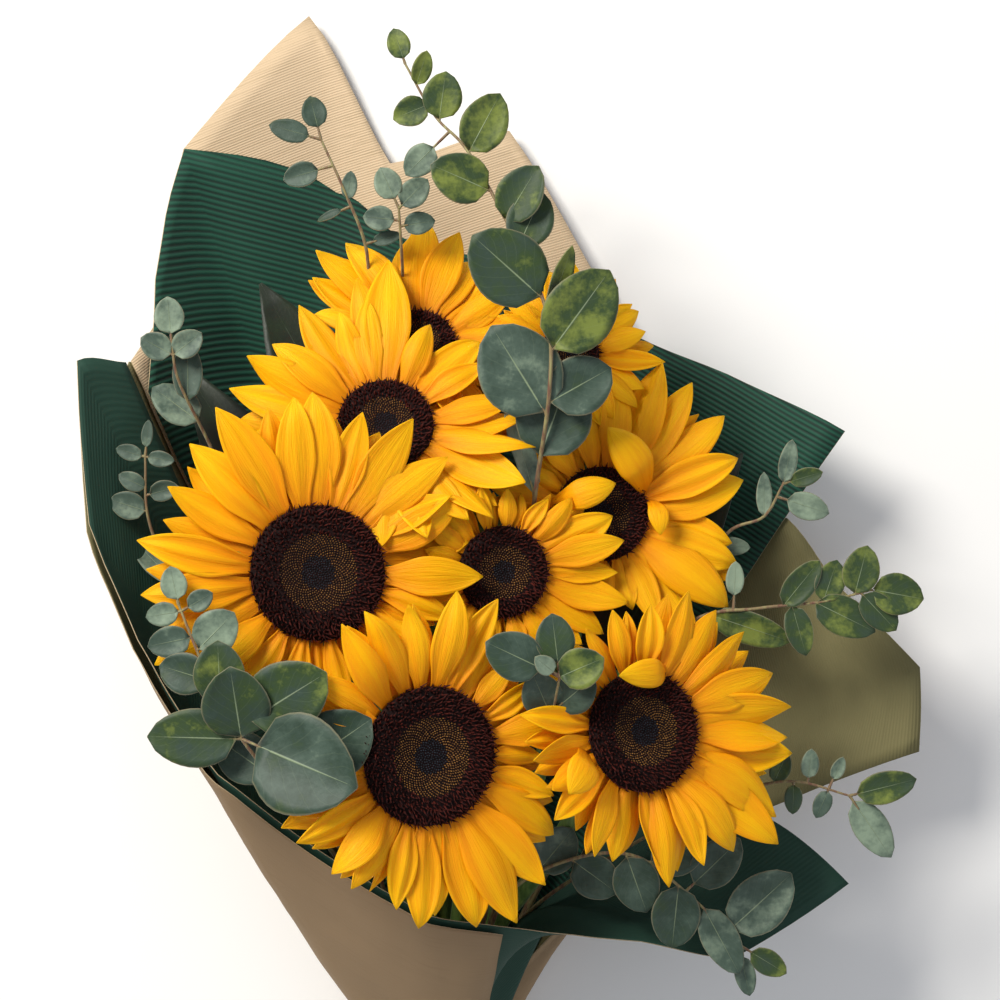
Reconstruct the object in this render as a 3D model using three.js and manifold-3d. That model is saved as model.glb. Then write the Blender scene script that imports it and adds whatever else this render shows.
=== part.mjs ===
// A hand-wrapped bunch of sunflowers with eucalyptus, lying on its back on a flat surface.
// Millimetres. +Z is up, the flowers face up and the cut stems point toward -Y.
import * as THREE from 'three';
import { mergeVertices } from 'three/addons/utils/BufferGeometryUtils.js';
import Module from 'manifold-3d';

const wasm = await Module();
wasm.setup();

// ---- driving dimensions -------------------------------------------------------------------
const GAP = 0.4;                // clearance between neighbouring pieces
const STEM_RADIUS = 4;          // a sunflower stem
const SPRIG_RADIUS = 1.1;       // a eucalyptus stem
const INNER_TWINE = 1.0;        // radius of the twine round the stems
const OUTER_TWINE = 1.5;        // radius of the twine round the paper
const PAPER = 0.5;              // thickness of a paper sheet, as a solid
const PAPER_STEP = 1.2;         // from one sheet to the next one out
const STEM_END_Y = -400;        // the cut ends
const NECK_Y = -250;            // where the bunch is tied
const NECK_X = -24;
const SKIRT = 60;               // paper below the tie
const SKIRT_FLARE = 0.06;       // how far the skirt opens, as a share of the neck's radius
const TIE_SETBACK = 6;          // the outer tie sits this far below the neck, the inner one twice
const CALYX_DEPTH = 21;         // from the petals' plane to the top of the stem
const PETAL_THICKNESS = 1;
const PRESSED_DROP = 19;        // how much lower the tip of a held-down petal is
const DISC_HEIGHT = 5;
const LEAF_THICKNESS = 0.9;

// ---- the packing at the neck, from the inside out -------------------------------------------
const RING_STEMS = 7;
const STEM_STEP = 26;           // length of a stem's straight pieces, about
const STEM_RING = (STEM_RADIUS + GAP / 2) / Math.sin(Math.PI / RING_STEMS) + 0.2;
const SPRIG_RING = STEM_RING + STEM_RADIUS + SPRIG_RADIUS + GAP;
const INNER_TIE_RING = SPRIG_RING + SPRIG_RADIUS + GAP + INNER_TWINE;
const PAPER_RING = INNER_TIE_RING + INNER_TWINE + GAP + PAPER / 2;
const LAYERS = 4;
const PAPER_OUTSIDE = PAPER_RING + (LAYERS - 1) * PAPER_STEP + PAPER / 2;
const OUTER_TIE_RING = PAPER_OUTSIDE + GAP + OUTER_TWINE;
const NECK_Z = OUTER_TIE_RING + OUTER_TWINE + GAP;
const NECK = new THREE.Vector3(NECK_X, NECK_Y, NECK_Z);
const UP = new THREE.Vector3(0, 0, 1);
// The routes and bends in the tables are drawn round a neck in this place, and its ring of this radius.
const DRAWN_NECK = new THREE.Vector3(-14, -250, 27.2);
const DRAWN_RING = 9.9;
const NECK_REACH_Y = -90;

// ---- small helpers ----------------------------------------------------------------------------
function vec(list) {
  return new THREE.Vector3(...list);
}

function radians(degrees) {
  return THREE.MathUtils.degToRad(degrees);
}

// A drawn point, moved as the neck is: fully beside it, and not at all from NECK_REACH_Y on.
function withNeck(point) {
  const share = THREE.MathUtils.clamp((NECK_REACH_Y - point[1]) / (NECK_REACH_Y - DRAWN_NECK.y), 0, 1);
  return vec(point).addScaledVector(NECK.clone().sub(DRAWN_NECK), share);
}

// Repeatable numbers from 0 to 1.
function randomFrom(seed) {
  let state = seed * 7919 + 17;
  return () => {
    state = (state * 16807) % 2147483647;
    return state / 2147483647;
  };
}

// A point of the ring round the neck; the angle runs from the top toward +X.
function ringPoint(radius, degrees) {
  const a = radians(degrees);
  return new THREE.Vector3(Math.sin(a) * radius, 0, Math.cos(a) * radius).add(NECK);
}

function toSolid(geometry) {
  const bare = geometry.clone();
  bare.deleteAttribute('normal');
  bare.deleteAttribute('uv');
  const merged = mergeVertices(bare, 1e-4);
  const vertProperties = new Float32Array(merged.attributes.position.array);
  const triVerts = new Uint32Array(merged.index.array);
  return new wasm.Manifold(new wasm.Mesh({ numProp: 3, vertProperties, triVerts }));
}

function toGeometry(solid) {
  const mesh = solid.getMesh();
  const geometry = new THREE.BufferGeometry();
  geometry.setAttribute('position', new THREE.BufferAttribute(new Float32Array(mesh.vertProperties), 3));
  geometry.setIndex(new THREE.BufferAttribute(new Uint32Array(mesh.triVerts), 1));
  geometry.computeVertexNormals();
  return geometry;
}

// The biggest of the bodies that a cut leaves.
function biggestBody(solid) {
  const bodies = solid.decompose();
  return bodies.reduce((best, body) => (body.volume() > best.volume() ? body : best));
}

// A round tube with flat ends along a smooth curve through the points.
function tube(points, radius, sides, steps) {
  const curve = new THREE.CatmullRomCurve3(points, false, 'centripetal');
  const section = new THREE.Shape();
  for (let i = 0; i < sides; i += 1) {
    const a = (i / sides) * Math.PI * 2;
    const x = Math.cos(a) * radius;
    const y = Math.sin(a) * radius;
    if (i === 0) section.moveTo(x, y);
    else section.lineTo(x, y);
  }
  section.closePath();
  return new THREE.ExtrudeGeometry(section, { extrudePath: curve, steps, bevelEnabled: false });
}

// ---- the flower heads ---------------------------------------------------------------------------
// centre: middle of the petals' plane; facing: x and y of the way that it faces;
// disc: radius of the dark disc; reach: from the centre to the petals' tips;
// slot: angle at the neck, or null for the stem in the middle; route: where its stem runs;
// pressed: the petals between these angles are held down.
const HEADS = [
  { centre: [-35, 66, 80], facing: [0.10, 0.42], disc: 17, reach: 56, rays: 16, slot: 206,
    route: [[-32, -40, 46], [-21, -170, 30]] },
  { centre: [-48, 31, 103], facing: [0.05, 0.36], disc: 21, reach: 66, rays: 18, slot: 257,
    route: [[-42, -50, 60], [-27, -170, 36]] },
  { centre: [-75, -30, 128], facing: [0.20, 0.08], disc: 29, reach: 76, rays: 20, slot: 309,
    route: [[-66, -90, 84], [-36, -180, 52]] },
  { centre: [-29, -103, 150], facing: [0.40, -0.06], disc: 29.5, reach: 72, rays: 20, slot: 0,
    route: [[-32, -150, 96], [-19, -205, 60]], pressed: [130, 200] },
  { centre: [58, -95, 127], facing: [0.42, 0.10], disc: 26, reach: 68, rays: 18, slot: 51,
    route: [[34, -136, 84], [-3, -200, 50]] },
  { centre: [1, -30, 107], facing: [0.26, 0.0], disc: 20, reach: 53, rays: 16, slot: null,
    route: [[-7, -90, 62], [-12, -180, 40]] },
  { centre: [43, -6, 86], facing: [0.18, 0.12], disc: 21, reach: 66, rays: 18, slot: 103,
    route: [[31, -70, 46], [6, -170, 33]] },
  { centre: [30, 63, 78], facing: [0.20, 0.30], disc: 13, reach: 42, rays: 14, slot: 154,
    route: [[18, -40, 34], [0, -170, 24]] },
];

function facingOf(head) {
  const [x, y] = head.facing;
  return new THREE.Vector3(x, y, Math.sqrt(1 - x * x - y * y));
}

// Turns the local frame, whose +Z is the flower's face, and moves it to the head's centre.
function placeHead(geometry, head) {
  const turn = new THREE.Quaternion().setFromUnitVectors(UP, facingOf(head));
  geometry.applyQuaternion(turn);
  geometry.translate(...head.centre);
  return geometry;
}

function discGeometry(head, grow = 0) {
  const r = head.disc + grow;
  const foot = PETAL_THICKNESS / 2 + GAP + 0.4 - grow;
  const top = foot + DISC_HEIGHT + 2 * grow;
  const profile = [
    [0, foot], [r, foot], [r, foot + 2], [r * 0.82, top], [r * 0.45, top - 0.8], [0, top - 1.6],
  ];
  const outline = profile.map(([x, y]) => new THREE.Vector2(x, y));
  return placeHead(new THREE.LatheGeometry(outline, 12).rotateX(Math.PI / 2), head);
}

function calyxGeometry(head, grow = 0) {
  const top = -(PETAL_THICKNESS / 2 + GAP) + grow;
  const bottom = -CALYX_DEPTH - grow;
  const r = head.disc;
  const foot = STEM_RADIUS + 1;
  const profile = [
    [0, bottom], [foot + grow, bottom], [foot + 2 + grow, bottom + 4], [r * 0.62 + grow, bottom + 9],
    [r * 0.95 + grow, -6], [r + 5 + grow, -3], [r + 2 + grow, top], [0, top],
  ];
  const outline = profile.map(([x, y]) => new THREE.Vector2(x, y));
  return placeHead(new THREE.LatheGeometry(outline, 10).rotateX(Math.PI / 2), head);
}

// How far a petal rises above the flower's plane at a distance from the centre.
function petalRise(head, distance, tipRise) {
  const start = head.disc + 2;
  const share = Math.max(0, (distance - start) / (head.reach - start));
  return tipRise * share * share;
}

// All of a flower's petals: one star-shaped ring with a hole under the disc.
function petalsGeometry(head, index, grow = 0) {
  const random = randomFrom(index + 3);
  const valley = head.disc + (head.reach - head.disc) * 0.42 + grow;
  const [pressedFrom, pressedTo] = head.pressed ?? [0, 0];
  const tips = [];
  for (let i = 0; i < head.rays; i += 1) {
    const angle = ((i + (random() - 0.5) * 0.35) / head.rays) * Math.PI * 2;
    const pressed = angle > radians(pressedFrom) && angle < radians(pressedTo);
    const rise = (i % 2 ? 9 : -2) - (pressed ? PRESSED_DROP : 0);
    tips.push({ angle, reach: head.reach * (0.88 + random() * 0.16) + grow, rise });
  }
  const star = new THREE.Shape();
  const heights = [];
  tips.forEach((tip, i) => {
    const next = tips[(i + 1) % tips.length];
    const turn = (next.angle - tip.angle + Math.PI * 2) % (Math.PI * 2);
    const points = [
      [tip.reach, tip.angle], [valley + (tip.reach - valley) * 0.5, tip.angle + turn * 0.27],
      [valley, tip.angle + turn * 0.5],
      [valley + (next.reach - valley) * 0.5, tip.angle + turn * 0.73],
    ];
    points.forEach(([r, a], k) => {
      const x = Math.cos(a) * r;
      const y = Math.sin(a) * r;
      if (i + k === 0) star.moveTo(x, y);
      else star.lineTo(x, y);
      heights.push({ x, y, rise: k < 2 ? tip.rise : (k === 2 ? (tip.rise + next.rise) / 2 : next.rise) });
    });
  });
  star.closePath();
  const hole = new THREE.Path();
  hole.absellipse(0, 0, head.disc - 4, head.disc - 4, 0, Math.PI * 2, true);
  star.holes.push(hole);
  const depth = PETAL_THICKNESS + 2 * grow;
  const geometry = new THREE.ExtrudeGeometry(star, { depth, bevelEnabled: false, curveSegments: 6 });
  geometry.translate(0, 0, -depth / 2);
  const position = geometry.attributes.position;
  for (let i = 0; i < position.count; i += 1) {
    const x = position.getX(i);
    const y = position.getY(i);
    const near = heights.find((h) => Math.hypot(h.x - x, h.y - y) < 1e-3);
    const rise = near ? petalRise(head, Math.hypot(x, y), near.rise) : 0;
    position.setZ(i, position.getZ(i) + rise);
  }
  return placeHead(geometry, head);
}

// The stem under a head: out of the calyx, bending back, through the neck to its cut end.
function stemGeometry(head, grow = 0) {
  const facing = facingOf(head);
  const seat = vec(head.centre).addScaledVector(facing, -(CALYX_DEPTH + GAP - grow));
  const below = vec(head.centre).addScaledVector(facing, -(CALYX_DEPTH + GAP + 12));
  const slot = head.slot === null ? NECK.clone() : ringPoint(STEM_RING, head.slot);
  const spread = slot.clone().sub(NECK).multiplyScalar(0.15);
  const before = slot.clone().setY(NECK_Y + 20);
  const after = slot.clone().add(spread).setY(NECK_Y - 60);
  const lean = new THREE.Vector3(18, 0, -(NECK_Z - STEM_RING - STEM_RADIUS) + 1.5);
  const end = slot.clone().add(spread).add(lean).setY(STEM_END_Y - grow);
  const outward = slot.clone().sub(NECK).normalize().multiplyScalar(STEM_RING - DRAWN_RING);
  const route = head.route.map((p) => withNeck(p).add(outward));
  const steps = Math.ceil((head.centre[1] - STEM_END_Y) / STEM_STEP);
  return tube([seat, below, ...route, before, slot, after, end], STEM_RADIUS + grow, 6, steps);
}

// ---- eucalyptus ---------------------------------------------------------------------------------
// slot: angle at the neck; route: points of the stem beyond the neck, the last one its tip;
// leaves: x and y of a leaf's middle, its height above the stem, its length, its width, its roll,
// and true for a leaf that hangs back along its stem.
const SPRIGS = {
  top: { slot: 26,
    route: [[-4, -200, 58], [6, -130, 72], [13, -60, 84], [14, -5, 100], [20, 40, 119], [21, 64, 122],
      [19, 79, 121], [0, 121, 114], [-15, 148, 106], [-27, 161, 100], [-40, 184, 95]],
    leaves: [[-43, 193, 0, 13, 10, 0], [-33, 182, 2, 15, 9, 20], [-38, 163, 1, 15, 13, 0],
      [-24, 170, 4, 19, 17, 0], [-6, 158, 3, 26, 20, 10], [-17, 134, 6, 25, 21, 0],
      [-34, 142, -2, 16, 13, 0], [9, 127, 5, 26, 20, -10], [13, 117, -3, 24, 20, 0],
      [2, 97, 5, 36, 31, 0], [25, 92, 6, 27, 10, 35], [34, 79, 5, 38, 30, 10],
      [7, 55, 3, 40, 35, 0], [34, 48, -4, 28, 25, 0], [23, 36, 1, 36, 32, 0],
      [9, 22, -2, 36, 13, 40]] },
  upper_left: { slot: 232,
    route: [[-34, -150, 28], [-52, -30, 30], [-60, 60, 50], [-57, 106, 78], [-66, 131, 86], [-76, 153, 88]],
    leaves: [[-79, 165, 1, 13, 11, 0], [-90, 157, 0, 17, 10, 0], [-85, 138, -1, 15, 11, 0],
      [-64, 134, 1, 12, 7, 0], [-73, 121, -1, 11, 4, 20], [-48, 112, 1, 12, 6, 0]] },
  upper_small: { slot: 180,
    route: [[-20, -150, 16], [-30, 0, 22], [-41, 70, 42], [-42, 104, 78], [-43, 124, 86]],
    leaves: [[-48, 135, 1, 14, 12, 0], [-36, 131, 1, 15, 12, 0], [-52, 120, 0, 13, 11, 0],
      [-34, 118, 0, 13, 10, 0]] },
  left_high: { slot: 258,
    route: [[-50, -160, 46], [-96, -50, 62], [-122, 20, 84], [-136, 52, 97], [-138, 66, 100]],
    leaves: [[-139, 78, 1, 15, 13, 0], [-145, 65, 0, 14, 12, 0], [-131, 66, 1, 14, 12, 0],
      [-132, 55, -1, 24, 13, 0], [-138, 41, -2, 24, 17, 20]] },
  left_low: { slot: 284,
    route: [[-54, -170, 60], [-104, -90, 84], [-134, -40, 99], [-147, -8, 106], [-148, 18, 109]],
    leaves: [[-147, 28, 1, 11, 5, 0], [-155, 20, 0, 11, 7, 0], [-141, 17, 1, 11, 7, 0],
      [-154, 8, 0, 12, 8, 0], [-156, -2, 0, 15, 12, 0], [-140, 4, 0, 12, 9, 0],
      [-146, -25, -3, 26, 13, 30]] },
  left_front: { slot: 312,
    route: [[-42, -192, 68], [-64, -152, 98], [-86, -118, 146], [-108, -88, 160], [-120, -63, 158],
      [-129, -42, 154]],
    leaves: [[-131, -33, 1, 13, 11, 0], [-120, -40, 0, 11, 9, 0], [-136, -46, -1, 13, 10, 0],
      [-113, -52, 4, 20, 18, 0], [-133, -57, -1, 17, 13, 0], [-127, -69, -2, 20, 17, 0],
      [-112, -68, 2, 24, 21, 0], [-105, -81, 13, 30, 28, 0], [-84, -78, 13, 36, 30, 0],
      [-124, -95, 1, 34, 24, 0], [-104, -103, -4, 25, 21, 0], [-78, -105, 22, 44, 41, 0, true],
      [-64, -96, 18, 30, 28, 0]] },
  rosette: { slot: 42,
    route: [[-1, -195, 66], [10, -140, 98], [20, -95, 134], [24, -71, 154]],
    leaves: [[5, -62, 2, 24, 20, 0], [22, -55, 2, 19, 16, 0], [33, -67, 3, 19, 17, 0],
      [18, -66, 6, 10, 8, 0], [17, -79, 12, 20, 17, 0], [30, -78, 11, 20, 17, 0]] },
  right_middle: { slot: 94,
    route: [[16, -185, 44], [48, -115, 60], [82, -52, 80], [110, -46, 87], [137, -43, 90], [158, -38, 91]],
    leaves: [[100, -33, 0, 14, 8, 0], [108, -55, 2, 34, 15, 15], [128, -35, 2, 24, 13, 0],
      [127, -56, 1, 21, 12, 0], [140, -34, 1, 18, 13, 0], [147, -50, 1, 27, 17, 0],
      [153, -29, 2, 20, 16, 0], [161, -48, 0, 20, 14, 0], [169, -40, 1, 21, 18, 0]] },
  right_low: { slot: 77,
    route: [[14, -185, 52], [58, -150, 70], [104, -124, 86], [126, -119, 92], [150, -125, 93]],
    leaves: [[119, -113, 1, 13, 9, 0], [131, -111, 1, 12, 8, 0], [143, -113, 1, 10, 6, 0],
      [124, -127, 0, 12, 8, 0], [136, -129, 0, 12, 8, 0], [164, -121, 1, 25, 14, 0],
      [158, -140, -1, 28, 15, 0]] },
  bottom_right: { slot: 60,
    route: [[-1, -205, 62], [8, -168, 84], [34, -152, 92], [60, -150, 95], [86, -168, 94], [107, -188, 92]],
    leaves: [[24, -148, -2, 22, 19, 0], [41, -160, -1, 22, 19, 0], [58, -163, -1, 24, 20, 0],
      [76, -148, 1, 24, 20, 0], [74, -177, -2, 26, 21, 0], [92, -152, 2, 26, 19, 0],
      [111, -169, 2, 33, 24, 0], [94, -187, 1, 30, 16, 0], [114, -196, 0, 17, 11, 0],
      [104, -202, -1, 17, 9, 0]] },
  right_high: { slot: 120,
    route: [[18, -180, 26], [60, -90, 44], [98, -14, 72], [113, -7, 78], [121, 7, 81]],
    leaves: [[123, 17, 1, 18, 8, 0], [113, 3, 0, 18, 7, 0], [132, -3, 1, 18, 12, 0],
      [131, 10, 1, 14, 8, 0], [101, -20, 0, 14, 8, 0]] },
};

function sprigCurve(sprig) {
  const slot = ringPoint(SPRIG_RING, sprig.slot);
  const spread = slot.clone().sub(NECK).multiplyScalar(0.15);
  const end = slot.clone().add(spread).add(new THREE.Vector3(8, 0, -2)).setY(NECK_Y - 100);
  const after = slot.clone().add(spread).setY(NECK_Y - 50);
  const before = slot.clone().setY(NECK_Y + 18);
  const outward = slot.clone().sub(NECK).normalize().multiplyScalar(STEM_RING - DRAWN_RING);
  const route = sprig.route.map((p) => withNeck(p).add(outward));
  return new THREE.CatmullRomCurve3([end, after, slot, before, ...route], false, 'centripetal');
}

// A pointed oval plate from a base point to a tip, its flat side turned toward `up`.
function leafGeometry(base, tip, width, roll, thickness) {
  const along = tip.clone().sub(base);
  const length = along.length();
  along.normalize();
  const side = new THREE.Vector3().crossVectors(UP, along).normalize();
  side.applyAxisAngle(along, radians(roll));
  const up = new THREE.Vector3().crossVectors(along, side);
  const outline = [[0, 0], [0.25, -0.45], [0.65, -0.45], [1, 0], [0.65, 0.45], [0.25, 0.45]];
  const shape = new THREE.Shape(outline.map(([x, y]) => new THREE.Vector2(x * length, y * width)));
  const geometry = new THREE.ExtrudeGeometry(shape, { depth: thickness, bevelEnabled: false });
  geometry.translate(0, 0, -thickness / 2);
  geometry.applyMatrix4(new THREE.Matrix4().makeBasis(along, side, up));
  geometry.translate(base.x, base.y, base.z);
  return geometry;
}

function sprigSolid(sprig, grow = 0) {
  const curve = sprigCurve(sprig);
  let solid = toSolid(tube(curve.points, SPRIG_RADIUS + grow, 5, 20));
  const stations = curve.getPoints(120).filter((p) => p.y > NECK_Y + 50);
  sprig.leaves.forEach(([x, y, above, length, width, roll, hangs]) => {
    const flat = (p) => Math.hypot(p.x - x, p.y - y);
    const target = Math.max(0, Math.min(...stations.map(flat)));
    const near = stations.filter((p) => flat(p) <= Math.max(target + 0.2, length * 0.62));
    const root = hangs ? near[near.length - 1] : near[0];
    const away = new THREE.Vector3(x - root.x, y - root.y, 0).normalize();
    const tip = new THREE.Vector3(x, y, root.z + above).addScaledVector(away, length / 2 + grow);
    const leaf = leafGeometry(root, tip, width + 2 * grow, roll, LEAF_THICKNESS + 2 * grow);
    solid = solid.add(toSolid(leaf));
  });
  return solid;
}

// ---- broad leaves on three of the sunflower stems -------------------------------------------------
const LEAVES = {
  leaf_left: { base: [-66, -58, 74], tip: [-136, 62, 62], width: 46, roll: 20 },
  leaf_upper: { base: [-48, -6, 50], tip: [-104, 96, 50], width: 48, roll: 15 },
  leaf_right: { base: [40, -78, 62], tip: [104, 22, 58], width: 40, roll: -20 },
};

// ---- the paper ---------------------------------------------------------------------------------
// Each rib of the wrap is one smooth line from the neck (at `angle`) past `bend` to `rim`.
// ends: how far along it the four sheets reach, from the innermost out; 0 where a sheet is absent.
const RIBS = [
  { angle: 0, bend: [-20, -218, 80], rim: [-29, -173, 112], ends: [1, 0, 0, 0.97] },
  { angle: 20, bend: [0, -215, 75], rim: [1, -179, 107], ends: [1, 0, 0, 0.97] },
  { angle: 45, bend: [-4, -148, 62], rim: [60, -188, 85], ends: [1, 0, 0, 0] },
  { angle: 60, bend: [0, -130, 50], rim: [100, -197, 74], ends: [1, 0, 0, 0] },
  { angle: 75, bend: [57, -66, 42], rim: [150, -165, 72], ends: [1, 0, 0, 0] },
  { angle: 90, bend: [-12, -178, 26], rim: [182, -109, 58], ends: [0, 0, 0, 1] },
  { angle: 105, bend: [35, -150, 18], rim: [182, -73, 60], ends: [0, 0, 0, 1] },
  { angle: 114, bend: [42, -140, 12], rim: [163, -20, 58], ends: [0, 0, 0, 0.93] },
  { angle: 123, bend: [45, -130, 8], rim: [150, 30, 56], ends: [0, 1, 0, 0.88] },
  { angle: 140, bend: [35, -120, -5], rim: [100, 56, 32], ends: [0, 1, 0.8, 0.8] },
  { angle: 155, bend: [22, -105, -14], rim: [54, 82, 13], ends: [0, 0.99, 1, 0.85] },
  { angle: 168, bend: [5, -100, -16], rim: [4, 167, 9], ends: [0, 0.88, 1, 0.8] },
  { angle: 180, bend: [-15, -98, -16], rim: [-51, 160, 9], ends: [0, 0.92, 0.985, 0.8] },
  { angle: 195, bend: [-35, -98, -15], rim: [-86, 219, 10], ends: [0, 0.87, 1, 0.7] },
  { angle: 210, bend: [-55, -100, -8], rim: [-141, 157, 24], ends: [0, 1, 1, 0.8] },
  { angle: 228, bend: [-68, -100, 6], rim: [-150, 97, 50], ends: [0, 1, 0.97, 0.9] },
  { angle: 245, bend: [-80, -108, 22], rim: [-157, 60, 76], ends: [0, 0.96, 1, 1] },
  { angle: 258, bend: [-88, -112, 38], rim: [-158, 58, 96], ends: [1, 0, 0, 0.99] },
  { angle: 270, bend: [-96, -118, 50], rim: [-176, 58, 112], ends: [1, 0, 0, 0.98] },
  { angle: 285, bend: [-97, -140, 66], rim: [-170, -10, 118], ends: [1, 0, 0, 0.97] },
  { angle: 300, bend: [-90, -168, 78], rim: [-150, -58, 118], ends: [1, 0, 0, 0.97] },
  { angle: 315, bend: [-84, -180, 82], rim: [-132, -89, 116], ends: [1, 0, 0, 0.97] },
  { angle: 330, bend: [-72, -192, 85], rim: [-117, -114, 114], ends: [1, 0, 0, 0.97] },
  { angle: 345, bend: [-45, -206, 83], rim: [-69, -150, 113], ends: [1, 0, 0, 0.97] },
];
const SHEETS = ['green_front_sheet', 'green_back_sheet', 'kraft_back_sheet', 'kraft_front_sheet'];
const SHEET_RANGES = [[17, 28], [8, 16], [9, 16], [5, 25]];   // first and last rib, counting on past the end
const ALONG = 6;                // cells along a rib above the neck
const BETWEEN = 2;              // columns from one rib to the next

const bends = RIBS.map((r) => withNeck(r.bend));
const bendLoop = new THREE.CatmullRomCurve3(bends, true, 'catmullrom');
const rimLoop = new THREE.CatmullRomCurve3(RIBS.map((r) => vec(r.rim)), true, 'catmullrom');
const RIM_ROUNDING = 0.3;       // 0: the paper's edge is straight from rib to rib, 1: one smooth curve

function blend(values, place) {
  const i = Math.floor(place);
  const a = values[i % values.length];
  const b = values[(i + 1) % values.length];
  return a + (b - a) * (place - i);
}

function rimPoint(place) {
  const whole = Math.floor(place);
  const from = vec(RIBS[whole % RIBS.length].rim);
  const to = vec(RIBS[(whole + 1) % RIBS.length].rim);
  const curved = rimLoop.getPoint((place / RIBS.length) % 1);
  return from.lerp(to, place - whole).lerp(curved, RIM_ROUNDING);
}

// The master surface: place counts ribs, t runs from the neck (0) to the rim (1), below 0 is the skirt.
function wrapPoint(place, t) {
  const whole = Math.floor(place);
  const a = RIBS[whole % RIBS.length].angle;
  const b = RIBS[(whole + 1) % RIBS.length].angle;
  const turn = (b - a + 360) % 360;
  const angle = a + turn * (place - whole);
  if (t < 0) {
    return ringPoint(PAPER_RING * (1 - t * SKIRT_FLARE), angle).add(new THREE.Vector3(0, t * SKIRT, 0));
  }
  const foot = ringPoint(PAPER_RING, angle).multiplyScalar((1 - t) * (1 - t));
  foot.addScaledVector(bendLoop.getPoint((place / RIBS.length) % 1), 2 * t * (1 - t));
  return foot.addScaledVector(rimPoint(place), t * t);
}

function wrapNormal(place, t) {
  const h = 0.01;
  const across = wrapPoint(place + h, t).sub(wrapPoint(place - h + RIBS.length, t));
  const along = wrapPoint(place, t + h).sub(wrapPoint(place, t - h));
  return across.cross(along).normalize();
}

// A sheet as a solid: its two skins and the rim that joins them.
function sheetGeometry(layer, grow = 0) {
  const [first, last] = SHEET_RANGES[layer];
  const columns = (last - first) * BETWEEN;
  const rows = ALONG + 1;
  const ends = RIBS.map((r) => r.ends[layer]);
  const reaches = [];
  for (let i = 0; i <= columns; i += 1) reaches.push(blend(ends, first + i / BETWEEN));
  const positions = [];
  for (const skin of [-1, 1]) {
    const reach = layer * PAPER_STEP + skin * (PAPER / 2 + grow);
    const floor = (LAYERS - 1 - layer) * PAPER_STEP + PAPER / 2 - skin * (PAPER / 2 + grow);
    const onGrid = (place, t) => {
      const point = wrapPoint(place, t).addScaledVector(wrapNormal(place, t), reach);
      return point.setZ(Math.max(point.z, floor));
    };
    for (let i = 0; i <= columns; i += 1) {
      const place = first + i / BETWEEN;
      for (let j = 0; j <= rows; j += 1) {
        const cells = Math.min(j - 1, reaches[i] * ALONG);
        const whole = Math.min(Math.floor(cells), ALONG - 1);
        const point = onGrid(place, j === 0 ? -1 : whole / ALONG);
        // A sheet that stops inside a cell stops on the straight line that its neighbours follow.
        if (cells > whole) point.lerp(onGrid(place, (whole + 1) / ALONG), cells - whole);
        positions.push(point.x, point.y, point.z);
      }
    }
  }
  const index = [];
  // Rows past a column's end are the column's last point.
  const at = (skin, i, j) => {
    const row = Math.min(j, Math.ceil(reaches[i] * ALONG) + 1);
    return (skin * (columns + 1) + i) * (rows + 1) + row;
  };
  const triangle = (a, b, c) => {
    if (a !== b && b !== c && c !== a) index.push(a, b, c);
  };
  const quad = (a, b, c, d) => {
    triangle(a, b, c);
    triangle(a, c, d);
  };
  for (let i = 0; i < columns; i += 1) {
    for (let j = 0; j < rows; j += 1) {
      quad(at(0, i, j), at(0, i, j + 1), at(0, i + 1, j + 1), at(0, i + 1, j));
      quad(at(1, i, j), at(1, i + 1, j), at(1, i + 1, j + 1), at(1, i, j + 1));
    }
    quad(at(0, i, 0), at(0, i + 1, 0), at(1, i + 1, 0), at(1, i, 0));
    quad(at(0, i, rows), at(1, i, rows), at(1, i + 1, rows), at(0, i + 1, rows));
  }
  for (let j = 0; j < rows; j += 1) {
    quad(at(0, 0, j), at(1, 0, j), at(1, 0, j + 1), at(0, 0, j + 1));
    quad(at(0, columns, j), at(0, columns, j + 1), at(1, columns, j + 1), at(1, columns, j));
  }
  const geometry = new THREE.BufferGeometry();
  geometry.setAttribute('position', new THREE.Float32BufferAttribute(positions, 3));
  geometry.setIndex(index);
  return geometry;
}

// ---- the ties -----------------------------------------------------------------------------------
function tieGeometry(ring, twine, y) {
  const geometry = new THREE.TorusGeometry(ring, twine, 6, 24).rotateX(Math.PI / 2);
  return geometry.translate(NECK.x, y, NECK.z);
}

// ---- materials ------------------------------------------------------------------------------------
function material(color, roughness) {
  return new THREE.MeshStandardMaterial({ color, roughness, metalness: 0 });
}
const PETAL = material('#f9a806', 0.55);
const FLORETS = material('#391409', 0.85);
const STEM = material('#5b7a35', 0.6);
const CALYX = material('#4f6e2e', 0.7);
const EUCALYPTUS = material('#55635b', 0.6);
const BROAD_LEAF = material('#2f4a26', 0.6);
const GREEN_PAPER = material('#194536', 0.8);
const KRAFT_PAPER = material('#c9ac84', 0.85);
const TWINE = material('#a98c5f', 0.9);

// ---- building: hard pieces first, then each soft piece is cut clear of what is in its way ----------
const group = new THREE.Group();
const grown = [];

function addPiece(name, look, solid, grownSolid) {
  const mesh = new THREE.Mesh(toGeometry(solid), look);
  mesh.name = name;
  group.add(mesh);
  grown.push(grownSolid);
}

function addCarved(name, look, solid, grownSolid) {
  let cut = solid;
  for (const other of grown) {
    if (cut.intersect(other).volume() > 1e-6) cut = cut.subtract(other);
  }
  addPiece(name, look, biggestBody(cut), grownSolid);
}

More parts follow.
